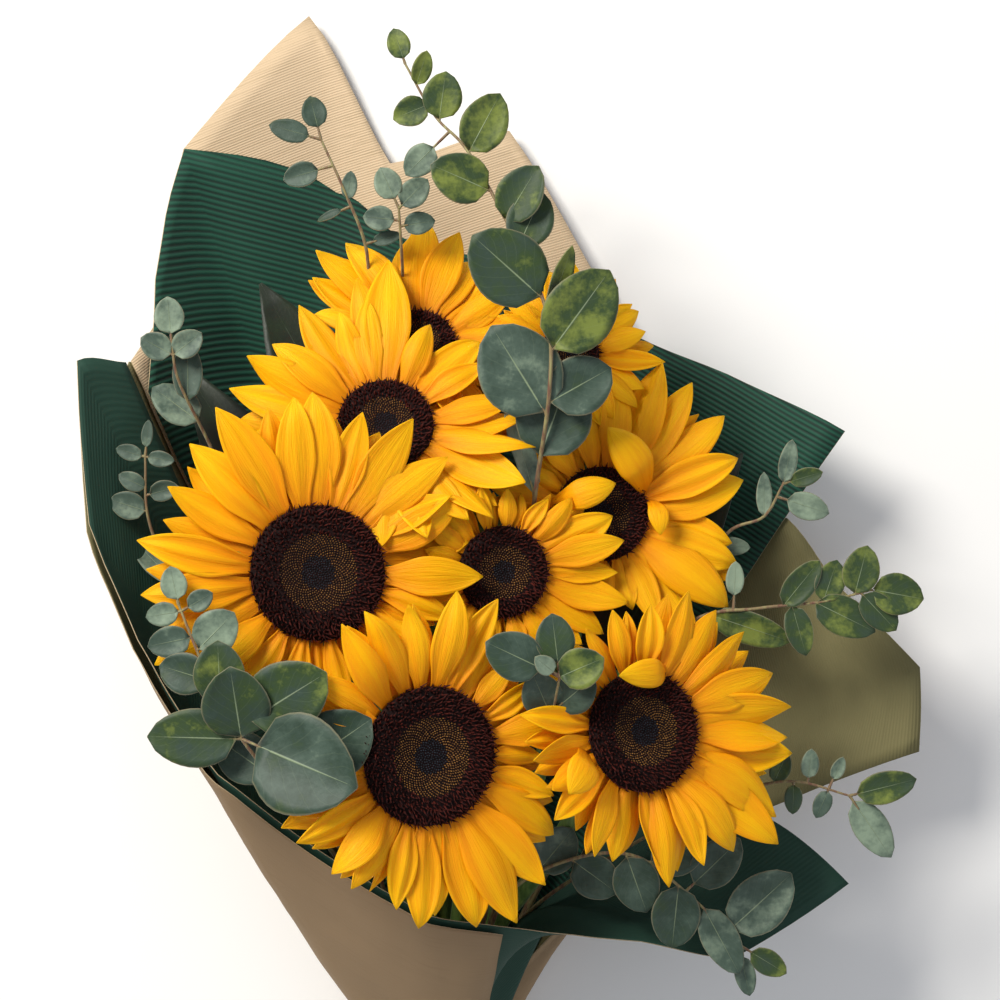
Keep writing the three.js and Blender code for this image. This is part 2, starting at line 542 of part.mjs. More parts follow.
HEADS.forEach((head, i) => {
  addPiece(`stem_${i + 1}`, STEM, toSolid(stemGeometry(head)), toSolid(stemGeometry(head, GAP)));
});
HEADS.forEach((head, i) => {
  addPiece(`disc_${i + 1}`, FLORETS, toSolid(discGeometry(head)), toSolid(discGeometry(head, GAP)));
  addPiece(`calyx_${i + 1}`, CALYX, toSolid(calyxGeometry(head)), toSolid(calyxGeometry(head, GAP)));
});
SHEETS.forEach((name, layer) => {
  const look = name.startsWith('green') ? GREEN_PAPER : KRAFT_PAPER;
  addPiece(name, look, toSolid(sheetGeometry(layer)), toSolid(sheetGeometry(layer, GAP)));
});
const innerTie = tieGeometry(INNER_TIE_RING, INNER_TWINE, NECK_Y - 2 * TIE_SETBACK);
const outerTie = tieGeometry(OUTER_TIE_RING, OUTER_TWINE, NECK_Y - TIE_SETBACK);
addPiece('stem_tie', TWINE, toSolid(innerTie), toSolid(innerTie));
addPiece('paper_tie', TWINE, toSolid(outerTie), toSolid(outerTie));
Object.entries(SPRIGS).forEach(([place, sprig]) => {
  addCarved(`eucalyptus_${place}`, EUCALYPTUS, sprigSolid(sprig), sprigSolid(sprig, GAP));
});
const HIGH_FIRST = [3, 2, 4, 5, 1, 6, 0, 7];
HIGH_FIRST.forEach((i) => {
  const head = HEADS[i];
  addCarved(`petals_${i + 1}`, PETAL, toSolid(petalsGeometry(head, i)), toSolid(petalsGeometry(head, i, GAP)));
});
Object.entries(LEAVES).forEach(([name, leaf]) => {
  const plate = leafGeometry(vec(leaf.base), vec(leaf.tip), leaf.width, leaf.roll, LEAF_THICKNESS);
  addCarved(name, BROAD_LEAF, toSolid(plate), toSolid(plate));
});

export default group;
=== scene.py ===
"""A hand-wrapped bunch of sunflowers and eucalyptus lying on its back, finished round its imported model."""

import math
import random

import bmesh
import bpy
from mathutils import Matrix, Quaternion, Vector, noise


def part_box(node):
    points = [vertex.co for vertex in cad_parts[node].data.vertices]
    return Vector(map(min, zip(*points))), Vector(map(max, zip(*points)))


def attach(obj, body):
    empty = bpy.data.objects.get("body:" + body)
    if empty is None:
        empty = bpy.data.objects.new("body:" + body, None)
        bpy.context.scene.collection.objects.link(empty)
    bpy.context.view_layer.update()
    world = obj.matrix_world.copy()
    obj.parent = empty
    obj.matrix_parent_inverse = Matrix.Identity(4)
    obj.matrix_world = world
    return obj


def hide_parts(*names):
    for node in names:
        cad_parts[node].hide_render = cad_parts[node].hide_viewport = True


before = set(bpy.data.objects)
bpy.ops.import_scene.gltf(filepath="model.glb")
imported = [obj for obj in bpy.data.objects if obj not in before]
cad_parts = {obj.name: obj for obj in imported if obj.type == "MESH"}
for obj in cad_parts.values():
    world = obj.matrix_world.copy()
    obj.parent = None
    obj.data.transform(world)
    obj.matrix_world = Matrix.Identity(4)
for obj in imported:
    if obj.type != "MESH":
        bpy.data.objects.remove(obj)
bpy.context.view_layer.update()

MM = 0.001
UP = Vector((0, 0, 1))

# ---- the wrap and the neck, in millimetres, as the solids have them ------------------------------
GAP = 0.4
STEM_RADIUS = 4.0
SPRIG_RADIUS = 1.1
INNER_TWINE = 1.0
OUTER_TWINE = 1.5
PAPER = 0.5
PAPER_STEP = 1.2
SKIRT = 60.0
SKIRT_FLARE = 0.06
LAYERS = 4
STEM_RING = (STEM_RADIUS + GAP / 2) / math.sin(math.pi / 7) + 0.2
SPRIG_RING = STEM_RING + STEM_RADIUS + SPRIG_RADIUS + GAP
INNER_TIE_RING = SPRIG_RING + SPRIG_RADIUS + GAP + INNER_TWINE
PAPER_RING = INNER_TIE_RING + INNER_TWINE + GAP + PAPER / 2
PAPER_OUTSIDE = PAPER_RING + (LAYERS - 1) * PAPER_STEP + PAPER / 2
OUTER_TIE_RING = PAPER_OUTSIDE + GAP + OUTER_TWINE
NECK = Vector((-24, -250, OUTER_TIE_RING + OUTER_TWINE + GAP))
# The routes and bends in the tables are drawn round a neck in this place, and its ring of this radius.
DRAWN_NECK = Vector((-14, -250, 27.2))
DRAWN_RING = 9.9
NECK_REACH_Y = -90.0


def clamp(value, low=0.0, high=1.0):
    return max(low, min(high, value))


def smooth(low, high, value):
    """0 below low, 1 above high, and an eased step between them."""
    share = clamp((value - low) / (high - low))
    return share * share * (3 - 2 * share)


def linear(hex_colour):
    """An sRGB hex colour as the linear colour that a shader socket takes."""
    parts = [int(hex_colour[i:i + 2], 16) / 255 for i in (1, 3, 5)]
    turned = [c / 12.92 if c <= 0.04045 else ((c + 0.055) / 1.055) ** 2.4 for c in parts]
    return (*turned, 1.0)


def with_neck(point):
    """A drawn point moved as the neck is: fully beside it, and not at all above NECK_REACH_Y."""
    share = clamp((NECK_REACH_Y - point[1]) / (NECK_REACH_Y - DRAWN_NECK.y))
    return Vector(point) + (NECK - DRAWN_NECK) * share


# ---- material building ---------------------------------------------------------------------------
def add(tree, kind, inputs, stops=(), **settings):
    """Adds a shader node and gives its output sockets back. Inputs go by place or by name, and each is a
    value or the socket to link from; stops are a colour ramp's (position, hex colour) pairs."""
    made = tree.nodes.new(f"ShaderNode{kind}")
    for name, value in settings.items():
        setattr(made, name, value)
    if stops:
        elements = made.color_ramp.elements
        while len(elements) < len(stops):
            elements.new(0.5)
        for element, (position, colour) in zip(elements, stops):
            element.position = position
            element.color = linear(colour)
    for socket, value in inputs.items() if isinstance(inputs, dict) else enumerate(inputs):
        if isinstance(value, bpy.types.NodeSocket):
            tree.links.new(value, made.inputs[socket])
        else:
            made.inputs[socket].default_value = value
    return made.outputs


def new_material(name):
    """A material with nothing but its Principled shader and its output."""
    made = bpy.data.materials.new(name)
    made.use_nodes = True
    tree = made.node_tree
    tree.nodes.clear()
    shader = tree.nodes.new("ShaderNodeBsdfPrincipled")
    add(tree, "OutputMaterial", {"Surface": shader.outputs["BSDF"]})
    return made, tree, shader


def finish_shader(tree, shader, colour, roughness, height=None, depth=0.0, **sockets):
    """Sets the shader's sockets; height is a pattern and depth its full height in metres."""
    values = {"Base Color": colour, "Roughness": roughness}
    values.update({name.replace("_", " "): value for name, value in sockets.items()})
    for name, value in values.items():
        if isinstance(value, bpy.types.NodeSocket):
            tree.links.new(value, shader.inputs[name])
        else:
            shader.inputs[name].default_value = value
    if height is not None:
        normal = add(tree, "Bump", {"Strength": 1.0, "Distance": depth, "Height": height})[0]
        tree.links.new(normal, shader.inputs["Normal"])


def petal_material():
    """Ray petals: thin, glowing skin with soft lengthwise streaks, orange at the foot, and a deeper orange
    in the grooves of the folds, which is painted shade.
    """
    made, tree, shader = new_material("sunflower_petal_skin")
    across, along, _ = add(tree, "SeparateXYZ", [add(tree, "UVMap", [], uv_map="shape")[0]])
    chance, fold, _ = add(tree, "SeparateXYZ", [add(tree, "UVMap", [], uv_map="tone")[0]])
    # Streaks: noise drawn out along the petal, about 1.5 mm apart across it, with finer veins in them.
    wide = add(tree, "Math", [across, 9.0], operation="MULTIPLY")[0]
    shift = add(tree, "Math", [chance, 37.0, wide], operation="MULTIPLY_ADD")[0]
    drawn_out = add(tree, "Math", [along, 1.3], operation="MULTIPLY")[0]
    drawn = add(tree, "CombineXYZ", [shift, drawn_out, chance])[0]
    streak = add(tree, "TexNoise", {"Vector": drawn, "Scale": 1.0, "Detail": 2.0})[0]
    vein = add(tree, "TexNoise", {"Vector": drawn, "Scale": 4.0, "Detail": 3.0})[0]
    golden = add(tree, "ValToRGB", [along],
                 ((0.0, "#da7a03"), (0.16, "#f39903"), (0.45, "#faac03"), (0.9, "#ffbb06")))[0]
    # The deeper orange comes with the petal's tone (random, and painted shade for the under petals), with
    # the streaks, and as painted shade in the grooves of the folds.
    deep = add(tree, "ValToRGB", [along], ((0.0, "#d27003"), (0.3, "#ec8d03"), (1.0, "#f4a204")))[0]
    patchy = add(tree, "MapRange", [streak, 0.4, 0.68, -0.12, 0.4])[0]
    amount = add(tree, "Math", [chance, 0.55], operation="MULTIPLY")[0]
    # fold is 1 in a groove and 0 on a ridge: painted shade in the grooves.
    amount = add(tree, "Math", [fold, 0.42, amount], operation="MULTIPLY_ADD")[0]
    amount = add(tree, "Math", [amount, patchy], operation="ADD", use_clamp=True)[0]
    colour = add(tree, "Mix", {0: amount, 6: golden, 7: deep}, data_type="RGBA")[2]
    height = add(tree, "Math", [vein, 0.5, streak], operation="MULTIPLY_ADD")[0]
    finish_shader(tree, shader, colour, 0.55, height, 0.0004, IOR=1.25, Subsurface_Weight=0.3,
                  Subsurface_Radius=(0.003, 0.0015, 0.0002), Subsurface_Scale=1.0)
    return made


def floret_material(name, low, high, roughness):
    """Disc florets: matt, velvety, with each floret a little lighter or darker."""
    made, tree, shader = new_material(name)
    where = add(tree, "TexCoord", [])["Object"]
    # Cells of about 1.5 mm, the spacing of the florets.
    cells = add(tree, "TexNoise", {"Vector": where, "Scale": 700.0, "Detail": 2.0})[0]
    colour = add(tree, "ValToRGB", [cells], ((0.38, low), (0.66, high)))[0]
    finish_shader(tree, shader, colour, roughness, cells, 0.0004, IOR=1.33)
    return made


def leaf_material(name, colours, bloom, margin, roughness=0.55):
    """Eucalyptus or sunflower leaf: waxy skin, pale midrib and side veins, a fine coloured margin."""
    made, tree, shader = new_material(name)
    across, along, _ = add(tree, "SeparateXYZ", [add(tree, "UVMap", [], uv_map="shape")[0]])
    tone, edge, _ = add(tree, "SeparateXYZ", [add(tree, "UVMap", [], uv_map="tone")[0]])
    where = add(tree, "TexCoord", [])["Object"]
    # Patches of bloom 6 to 10 mm wide, and a finer mottle of 1 mm.
    patches = add(tree, "TexNoise", {"Vector": where, "Scale": 95.0, "Detail": 4.0})[0]
    mottle = add(tree, "TexNoise", {"Vector": where, "Scale": 620.0, "Detail": 3.0})[0]
    spread = add(tree, "Math", [patches, 0.9, -0.45], operation="MULTIPLY_ADD")[0]
    mixed = add(tree, "Math", [tone, spread], operation="ADD")[0]
    mixed = add(tree, "Math", [mixed, 0.12], operation="SUBTRACT")[0]
    mixed = add(tree, "Math", [mottle, 0.24, mixed], operation="MULTIPLY_ADD")[0]
    base = add(tree, "ValToRGB", [mixed], colours)[0]
    off = add(tree, "Math", [across, 0.5], operation="SUBTRACT")[0]
    off = add(tree, "Math", [off], operation="ABSOLUTE")[0]
    # The midrib thins out toward the tip.
    thin = add(tree, "Math", [along, 0.012, off], operation="MULTIPLY_ADD")[0]
    rib = add(tree, "MapRange", [thin, 0.006, 0.02, 0.7, 0.0])[0]
    # Side veins leave the midrib at a slant, seven or so to each side.
    slant = add(tree, "Math", [off, -0.9, along], operation="MULTIPLY_ADD")[0]
    slant = add(tree, "Math", [patches, 0.12, slant], operation="MULTIPLY_ADD")[0]
    wave = add(tree, "Math", [slant, 40.0], operation="MULTIPLY")[0]
    wave = add(tree, "Math", [wave], operation="SINE")[0]
    side = add(tree, "MapRange", [wave, 0.94, 1.0, 0.0, 0.05])[0]
    veins = add(tree, "Math", [rib, side], operation="ADD", use_clamp=True)[0]
    colour = add(tree, "Mix", {0: veins, 6: base, 7: linear(bloom)}, data_type="RGBA")[2]
    rim = add(tree, "MapRange", [edge, 0.95, 0.995, 0.0, 0.6])[0]
    colour = add(tree, "Mix", {0: rim, 6: colour, 7: linear(margin)}, data_type="RGBA")[2]
    height = add(tree, "Math", [mottle, 0.35], operation="MULTIPLY")[0]
    height = add(tree, "Math", [veins, 0.8, height], operation="MULTIPLY_ADD")[0]
    finish_shader(tree, shader, colour, roughness, height, 0.0003, IOR=1.42, Sheen_Weight=0.12,
                  Sheen_Roughness=0.5)
    return made


def stem_material(name, low, high, ridge):
    """Green stem: ridged lengthwise, slightly hairy, lighter and darker in long patches."""
    made, tree, shader = new_material(name)
    where = add(tree, "TexCoord", [])["Object"]
    drawn = add(tree, "Mapping", {"Vector": where, "Scale": (1.0, 0.12, 1.0)})[0]
    patch = add(tree, "TexNoise", {"Vector": drawn, "Scale": ridge, "Detail": 4.0})[0]
    colour = add(tree, "ValToRGB", [patch], ((0.35, low), (0.7, high)))[0]
    finish_shader(tree, shader, colour, 0.55, patch, 0.0006, IOR=1.42, Sheen_Weight=0.15)
    return made


def paper_material(name, ridge_colour, valley_colour, pitch, strength, fleck):
    """Ribbed wrapping paper: rolled ribs `pitch` millimetres apart, matt, with fibre flecks; the valleys of
    the ribs are coloured darker, painted shade, more so with more `strength`.
    """
    made, tree, shader = new_material(name)
    uv = add(tree, "UVMap", [], uv_map="shape")[0]
    _, run, _ = add(tree, "SeparateXYZ", [uv])
    # Fibres lie along the ribs: 12 mm long and 0.5 mm wide.
    along_ribs = add(tree, "Mapping", {"Vector": uv, "Scale": (0.08, 1.6, 1.0)})[0]
    fibre = add(tree, "TexNoise", {"Vector": along_ribs, "Scale": 1.0, "Detail": 4.0})[0]
    cloud = add(tree, "TexNoise", {"Vector": uv, "Scale": 0.03, "Detail": 3.0})[0]
    turn = add(tree, "Math", [run, 2 * math.pi / pitch], operation="MULTIPLY")[0]
    turn = add(tree, "Math", [fibre, 0.9, turn], operation="MULTIPLY_ADD")[0]
    wave = add(tree, "Math", [turn], operation="SINE")[0]
    rib = add(tree, "Math", [wave, 0.5, 0.5], operation="MULTIPLY_ADD")[0]
    # Painted shade: the rib valleys get the darker colour, more so with more strength.
    shade = add(tree, "Math", [rib, strength, 1.0 - strength], operation="MULTIPLY_ADD")[0]
    for pattern, weight in ((fibre, fleck), (cloud, 0.5)):
        centred = add(tree, "Math", [pattern, 0.5], operation="SUBTRACT")[0]
        shade = add(tree, "Math", [centred, weight, shade], operation="MULTIPLY_ADD")[0]
    colour = add(tree, "ValToRGB", [shade], ((0.15, valley_colour), (0.85, ridge_colour)))[0]
    height = add(tree, "Math", [fibre, 0.15, rib], operation="MULTIPLY_ADD")[0]
    finish_shader(tree, shader, colour, 0.75, height, 0.00035 * strength + 0.00005, IOR=1.45)
    return made


def plain_fibre_material(name, low, high, size):
    """Cut paper edge or jute: matt fibres about `size` millimetres across."""
    made, tree, shader = new_material(name)
    where = add(tree, "TexCoord", [])["Object"]
    fibre = add(tree, "TexNoise", {"Vector": where, "Scale": 1.0 / (size * MM), "Detail": 4.0})[0]
    colour = add(tree, "ValToRGB", [fibre], ((0.3, low), (0.7, high)))[0]
    finish_shader(tree, shader, colour, 0.85, fibre, 0.0002, IOR=1.45)
    return made


# Each is named for the real surface, and the comments say what that gives the eye.
MATERIALS = {
    # Petal skin glows from within, because light passes through it.
    "petal": petal_material(),
    # Open florets are dull dark red velvet. The ring inside them is dusted with pollen, and the middle is
    # still closed and bluish.
    "florets_outer": floret_material("disc_floret_maroon_velvet", "#220705", "#561b11", 0.75),
    "florets_gold": floret_material("disc_floret_pollen", "#4a2c16", "#a07238", 0.75),
    "florets_bud": floret_material("disc_floret_closed_bud", "#12151b", "#2b323c", 0.6),
    "disc_bed": floret_material("disc_bed_velvet", "#0d0303", "#1f0806", 0.9),
    # Bracts and sunflower leaves are hairy and dull, eucalyptus has a whitish wax bloom on dark green. The
    # sunflower leaves are coloured near-black, painted shade of the bunch's inside.
    "calyx": leaf_material("sunflower_bract_skin", ((0.2, "#3c5a22"), (0.6, "#55762f"), (1.0, "#7f9a4e")),
                           "#93ab66", "#6b8840", 0.65),
    "broad_leaf": leaf_material("sunflower_leaf_painted_shade",
                                ((0.2, "#0b140b"), (0.6, "#15240f"), (1.0, "#243a18")),
                                "#2c421f", "#16240f", 0.5),
    "eucalyptus": leaf_material("eucalyptus_leaf_skin",
                                ((0.0, "#6d7a31"), (0.2, "#2d421b"), (0.45, "#2a3e31"), (0.7, "#405347"),
                                 (1.0, "#7f917b")), "#93a37f", "#807a5c"),
    # Young twigs are reddish brown, sunflower stems fresh green and ridged.
    "sprig_stem": stem_material("eucalyptus_twig_bark", "#6b4a38", "#8f8a5a", 500.0),
    "stem": stem_material("sunflower_stem_skin", "#48662c", "#7e9a4c", 420.0),
    # Dyed green paper has deep rolled ribs on one face, their valleys coloured near-black, painted shade.
    # Kraft is unbleached, with fine ribs and brown flecks, its rib valleys a little darker, painted shade.
    "green_ribbed": paper_material("green_ribbed_paper", "#164c3a", "#061a13", 2.4, 0.75, 0.15),
    # The smooth green is kept darker than the paper's own colour: partly painted shade of the wrap's inside.
    "green_smooth_shaded": paper_material("green_paper_back_shaded", "#1a3d30", "#0d231b", 2.4, 0.1, 0.25),
    "kraft": paper_material("kraft_ribbed_paper", "#cdb594", "#86744f", 1.15, 0.25, 1.2),
    # Painted shade: the kraft's outside is a darker copy of the kraft, for the shaded front wall of the
    # wrap.
    "kraft_outer_shaded": paper_material("kraft_paper_outside_painted_shade", "#957c5c", "#604e35", 1.15, 0.15, 0.9),
    # Painted shade: the kraft's inside is a dark olive copy of the kraft, for the shaded flap.
    "kraft_inner_shaded": paper_material("kraft_paper_inside_painted_shade", "#716b45", "#474327", 1.15, 0.1, 0.6),
    "paper_edge": plain_fibre_material("cut_paper_edge", "#a08c6c", "#c7b594", 0.5),
    # Jute is dull, hairy and straw-coloured.
    "twine": plain_fibre_material("jute_twine", "#7c6238", "#c0a06a", 0.35),
}


# ---- turning a bmesh into a piece ----------------------------------------------------------------
def add_piece(name, bm, materials, node):
    """A finished piece: smooth shaded, riding on the one body, standing for its CAD node."""
    mesh = bpy.data.meshes.new(name)
    for face in bm.faces:
        face.smooth = True
    bm.to_mesh(mesh)
    bm.free()
    for key in materials:
        mesh.materials.append(MATERIALS[key])
    made = bpy.data.objects.new(name, mesh)
    bpy.context.scene.collection.objects.link(made)
    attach(made, "root")
    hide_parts(node)
    return made


def thicken(piece, thickness, rim=0):
    """A wall of `thickness` millimetres with its middle on the piece's faces."""
    solid = piece.modifiers.new("thickness", "SOLIDIFY")
    solid.thickness = thickness * MM
    solid.offset = 0.0
    solid.material_offset_rim = rim
    return solid


def grid_patch(bm, layers, columns, rows, place, tone):
    """One sheet of faces: place(u, v) gives each point, u across and v along, both from 0 to 1."""
    shape, tones = layers
    made = bmesh.ops.create_grid(bm, x_segments=columns, y_segments=rows, size=0.5)
    spots = {}
    for vert in made["verts"]:
        spots[vert] = (vert.co.x + 0.5, vert.co.y + 0.5)
        vert.co = place(*spots[vert])
    for face in {f for vert in made["verts"] for f in vert.link_faces}:
        for loop in face.loops:
            u, v = spots[loop.vert]
            loop[shape].uv = (u, v)
            loop[tones].uv = tone(u, v)


def new_patchwork():
    """A bmesh with the two UV maps that the materials read."""
    bm = bmesh.new()
    return bm, (bm.loops.layers.uv.new("shape"), bm.loops.layers.uv.new("tone"))


MERGE = 1e-4           # corners of a spun shape that are nearer than this are one


def spin_outline(bm, outline, steps):
    """A closed round body from its outline, given as (radius, height) pairs from axis to axis."""
    verts = [bm.verts.new((radius, 0, height)) for radius, height in outline]
    edges = [bm.edges.new(pair) for pair in zip(verts, verts[1:])]
    bmesh.ops.spin(bm, geom=verts + edges, axis=(0, 0, 1), cent=(0, 0, 0), dvec=(0, 0, 0),
                   angle=2 * math.pi, steps=steps, use_merge=True)
    bmesh.ops.remove_doubles(bm, verts=bm.verts, dist=MERGE)
    bmesh.ops.recalc_face_normals(bm, faces=bm.faces)


ROUTE_STEPS = 8        # from one stated point of a route to the next


def smooth_route(points):
    """Points along a smooth curve through the given ones, evenly bending like a cane."""
    made = []
    for i in range(len(points) - 1):
        a, b = points[max(i - 1, 0)], points[i]
        c, d = points[i + 1], points[min(i + 2, len(points) - 1)]
        ta = max((b - a).length, 1e-6) ** 0.5
        tb = max((c - b).length, 1e-6) ** 0.5
        tc = max((d - c).length, 1e-6) ** 0.5
        m1 = (c - b) if i == 0 else ((b - a) / ta - (c - a) / (ta + tb) + (c - b) / tb) * tb
        last = i == len(points) - 2
        m2 = (c - b) if last else ((c - b) / tb - (d - b) / (tb + tc) + (d - c) / tc) * tb
        for k in range(ROUTE_STEPS):
            s = k / ROUTE_STEPS
            made.append(b * (2 * s ** 3 - 3 * s ** 2 + 1) + m1 * (s ** 3 - 2 * s ** 2 + s)
                        + c * (3 * s ** 2 - 2 * s ** 3) + m2 * (s ** 3 - s ** 2))
    made.append(points[-1].copy())
    return made


def add_tube(bm, points, radii, sides=8, material=0, closed=False):
    """A round tube along the points, in metres, with a radius at each point."""
    data = bpy.data.curves.new("route", "CURVE")
    data.dimensions = "3D"
    data.bevel_depth = 1.0
    data.bevel_resolution = max(0, sides // 4 - 1)
    data.use_fill_caps = True
    data.twist_mode = "MINIMUM"
    spline = data.splines.new("POLY")
    spline.points.add(len(points) - 1)
    for spot, point, radius in zip(spline.points, points, radii):
        spot.co = (*point, 1.0)
        spot.radius = radius
    spline.use_cyclic_u = closed
    holder = bpy.data.objects.new("route", data)
    bpy.context.scene.collection.objects.link(holder)
    bpy.context.view_layer.update()
    mesh = bpy.data.meshes.new_from_object(holder.evaluated_get(bpy.context.evaluated_depsgraph_get()))
    before = len(bm.faces)
    bm.from_mesh(mesh)
    bm.faces.ensure_lookup_table()
    for face in bm.faces[before:]:
        face.material_index = material
    bpy.data.objects.remove(holder)
    bpy.data.curves.remove(data)
    bpy.data.meshes.remove(mesh)


# ---- flower heads --------------------------------------------------------------------------------
# rays: (angle, reach from the centre in mm) of the upper petals; the wide gaps between them are filled.
# bent: petals folded back over the disc's edge, as (angle of the foot, length, width, the angle that the
# tip points to, height of the tip over the foot). pressed: a leaf holds down the petals between these
# angles.
HEADS = {
    1: {"rays": [(13, 50), (42, 50), (60, 52), (75, 57), (90, 61), (105, 46), (118, 58), (132, 60),
                 (150, 54), (328, 42), (354, 46)]},
    2: {"rays": [(9, 55), (34, 50), (47, 58), (66, 50), (90, 76), (103, 58), (115, 55), (128, 65),
                 (145, 61), (160, 65), (173, 67), (319, 63), (333, 65), (347, 65), (358, 60)]},
    3: {"rays": [(23, 67), (34, 64), (46, 73), (59, 75), (74, 69), (89, 76), (103, 74), (121, 80),
                 (135, 75), (152, 71), (174, 76), (191, 75), (206, 77), (222, 62), (240, 60), (258, 58),
                 (280, 56), (300, 56), (325, 56), (343, 60), (358, 69)]},
    4: {"rays": [(13, 62), (30, 55), (45, 50), (58, 61), (71, 69), (83, 69), (98, 63), (112, 67),
                 (130, 69), (150, 60), (172, 60), (188, 54), (200, 71), (213, 65), (227, 63), (240, 62),
                 (253, 63), (266, 71), (277, 65), (289, 75), (300, 79), (312, 74), (331, 68), (344, 57),
                 (359, 50)],
        "pressed": (130, 206)},
    5: {"rays": [(10, 68), (23, 65), (37, 63), (52, 61), (66, 62), (88, 53), (108, 52), (130, 50),
                 (152, 53), (173, 57), (190, 53), (206, 50), (219, 55), (237, 58), (251, 55), (270, 55),
                 (283, 65), (297, 61), (310, 66), (322, 77), (334, 71), (346, 69), (358, 69)],
        "bent": [(62, 28, 12, 184, 3), (196, 22, 15, 232, 6)]},
    6: {"rays": [(1, 50), (15, 54), (28, 54), (43, 44), (62, 36), (85, 35), (110, 38), (135, 38),
                 (165, 36), (200, 36), (230, 34), (260, 34), (282, 36), (300, 40), (317, 46), (331, 51),
                 (345, 56)]},
    7: {"rays": [(8, 65), (22, 66), (36, 70), (52, 70), (66, 71), (80, 61), (100, 48), (125, 44),
                 (150, 40), (200, 40), (235, 38), (270, 40), (288, 43), (301, 53), (313, 62), (326, 69),
                 (338, 64), (353, 58)],
        "bent": [(24, 33, 17, 128, 9), (18, 17, 9, 275, 5), (172, 27, 13, 18, 8)]},
    8: {"rays": [(14, 35), (30, 37), (58, 39), (83, 39), (105, 39), (320, 38), (349, 41)]},
}
DISC_LIFT = 1.3        # the disc's foot above the petals' plane, in the solids
PETAL_SKIN = 0.35      # thickness of a petal
PETAL_INSET = 2.5      # from the disc's edge in to the petals' feet
PETAL_WIDEST = 0.45    # a petal is widest at this share of its length
PRESS = 36             # how many degrees lower a held-down petal lies
RAY_GAP = 17           # degrees from petal to petal where none are listed


class Head:
    """A flower's place and size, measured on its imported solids."""

    def __init__(self, number):
        disc = [v.co.copy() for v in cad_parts[f"disc_{number}"].data.vertices]
        calyx = [v.co.copy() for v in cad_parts[f"calyx_{number}"].data.vertices]
        disc_middle = sum(disc, Vector()) / len(disc)
        calyx_middle = sum(calyx, Vector()) / len(calyx)
        self.number = number
        self.facing = (disc_middle - calyx_middle).normalized()
        heights = [(p - disc_middle).dot(self.facing) for p in disc]
        self.centre = disc_middle + self.facing * (min(heights) - DISC_LIFT * MM)
        offsets = [(p - disc_middle) - self.facing * h for p, h in zip(disc, heights)]
        self.disc = max(o.length for o in offsets) / MM
        self.dome = (max(heights) - min(heights)) / MM
        self.depth = -min((p - self.centre).dot(self.facing) for p in calyx) / MM
        self.turn = UP.rotation_difference(self.facing).to_matrix().to_4x4()
        self.matrix = Matrix.Translation(self.centre) @ self.turn @ Matrix.Scale(MM, 4)

    def point(self, angle, radius, height, aside=0.0):
        """A point in metres from millimetres out from the axis, above the petals' plane and sideways."""
        c, s = math.cos(angle), math.sin(angle)
        return self.matrix @ Vector((c * radius - s * aside, s * radius + c * aside, height))


def all_rays(listed):
    """The listed petals with the wide gaps between them filled by slightly shorter ones."""
    reach = sum(r for _, r in listed) / len(listed) * 0.92
    made = []
    for i, (angle, length) in enumerate(listed):
        made.append((angle, length))
        following = listed[(i + 1) % len(listed)][0]
        gap = (following - angle) % 360 or 360
        missing = round(gap / RAY_GAP) - 1
        for k in range(missing):
            made.append((angle + gap * (k + 1) / (missing + 1), reach))
    return made


PETAL_COLUMNS = 12
PETAL_ROWS = 20


def petal_half_width(v):
    """Half the petal's width as a share of its widest: a narrow foot, a broad middle and a pointed arch."""
    if v < PETAL_WIDEST:
        return 0.42 + 0.58 * smooth(0.0, PETAL_WIDEST, v)
    return max(0.02, 1 - ((v - PETAL_WIDEST) / (1 - PETAL_WIDEST)) ** 2.2) ** 0.95


def add_petal(bm, layers, head, rng, angle, length, width, tilts, lift, tone):
    """One ray petal, rising at tilts[0] degrees by the disc and at tilts[1] by its tip."""
    sway = rng.uniform(-0.15, 0.15) * length
    twist = rng.uniform(-0.4, 0.4) if rng.random() < 0.9 else rng.choice((-0.85, 0.85))
    cup = rng.uniform(0.02, 0.2) * (1 if rng.random() < 0.7 else -1)
    folds = rng.choice((1.0, 1.0, 1.5, 2.0))
    fold_depth = rng.uniform(0.3, 0.8)
    phase = rng.uniform(-0.7, 0.7)
    hook = rng.uniform(-38, 26)
    wave = rng.uniform(-10, 10)
    foot = head.disc - PETAL_INSET
    centre = [(foot, lift)]
    for j in range(PETAL_ROWS):
        s = (j + 0.5) / PETAL_ROWS
        tilt = tilts[0] + (tilts[1] - tilts[0]) * s + hook * smooth(0.7, 1.0, s) + wave * math.sin(s * 6.3)
        e = math.radians(tilt)
        centre.append((centre[-1][0] + math.cos(e) * length / PETAL_ROWS,
                       centre[-1][1] + math.sin(e) * length / PETAL_ROWS))

    def ridge(u, v):
        """The lengthwise folds, fading out at the foot and the tip."""
        fold = math.cos(2 * math.pi * folds * (u - 0.5) + phase)
        return fold * smooth(0.0, 0.2, v) * (1 - smooth(0.7, 1.0, v))

    def place(u, v):
        radius, height = centre[min(int(v * PETAL_ROWS + 0.5), PETAL_ROWS)]
        half = width / 2 * petal_half_width(v)
        t = (u - 0.5) * 2
        bow = cup * half * t * t + ridge(u, v) * fold_depth
        lean = twist * v
        side = half * t * math.cos(lean) - bow * math.sin(lean) + sway * v * v
        return head.point(angle, radius, height + half * t * math.sin(lean) + bow * math.cos(lean), side)

    # The second tone channel is 1 in the groove of a fold and 0 on its ridge; the material paints shade by
    # it.
    grid_patch(bm, layers, PETAL_COLUMNS, PETAL_ROWS, place,
               lambda u, v: (tone, 0.5 - 0.5 * ridge(u, v)))


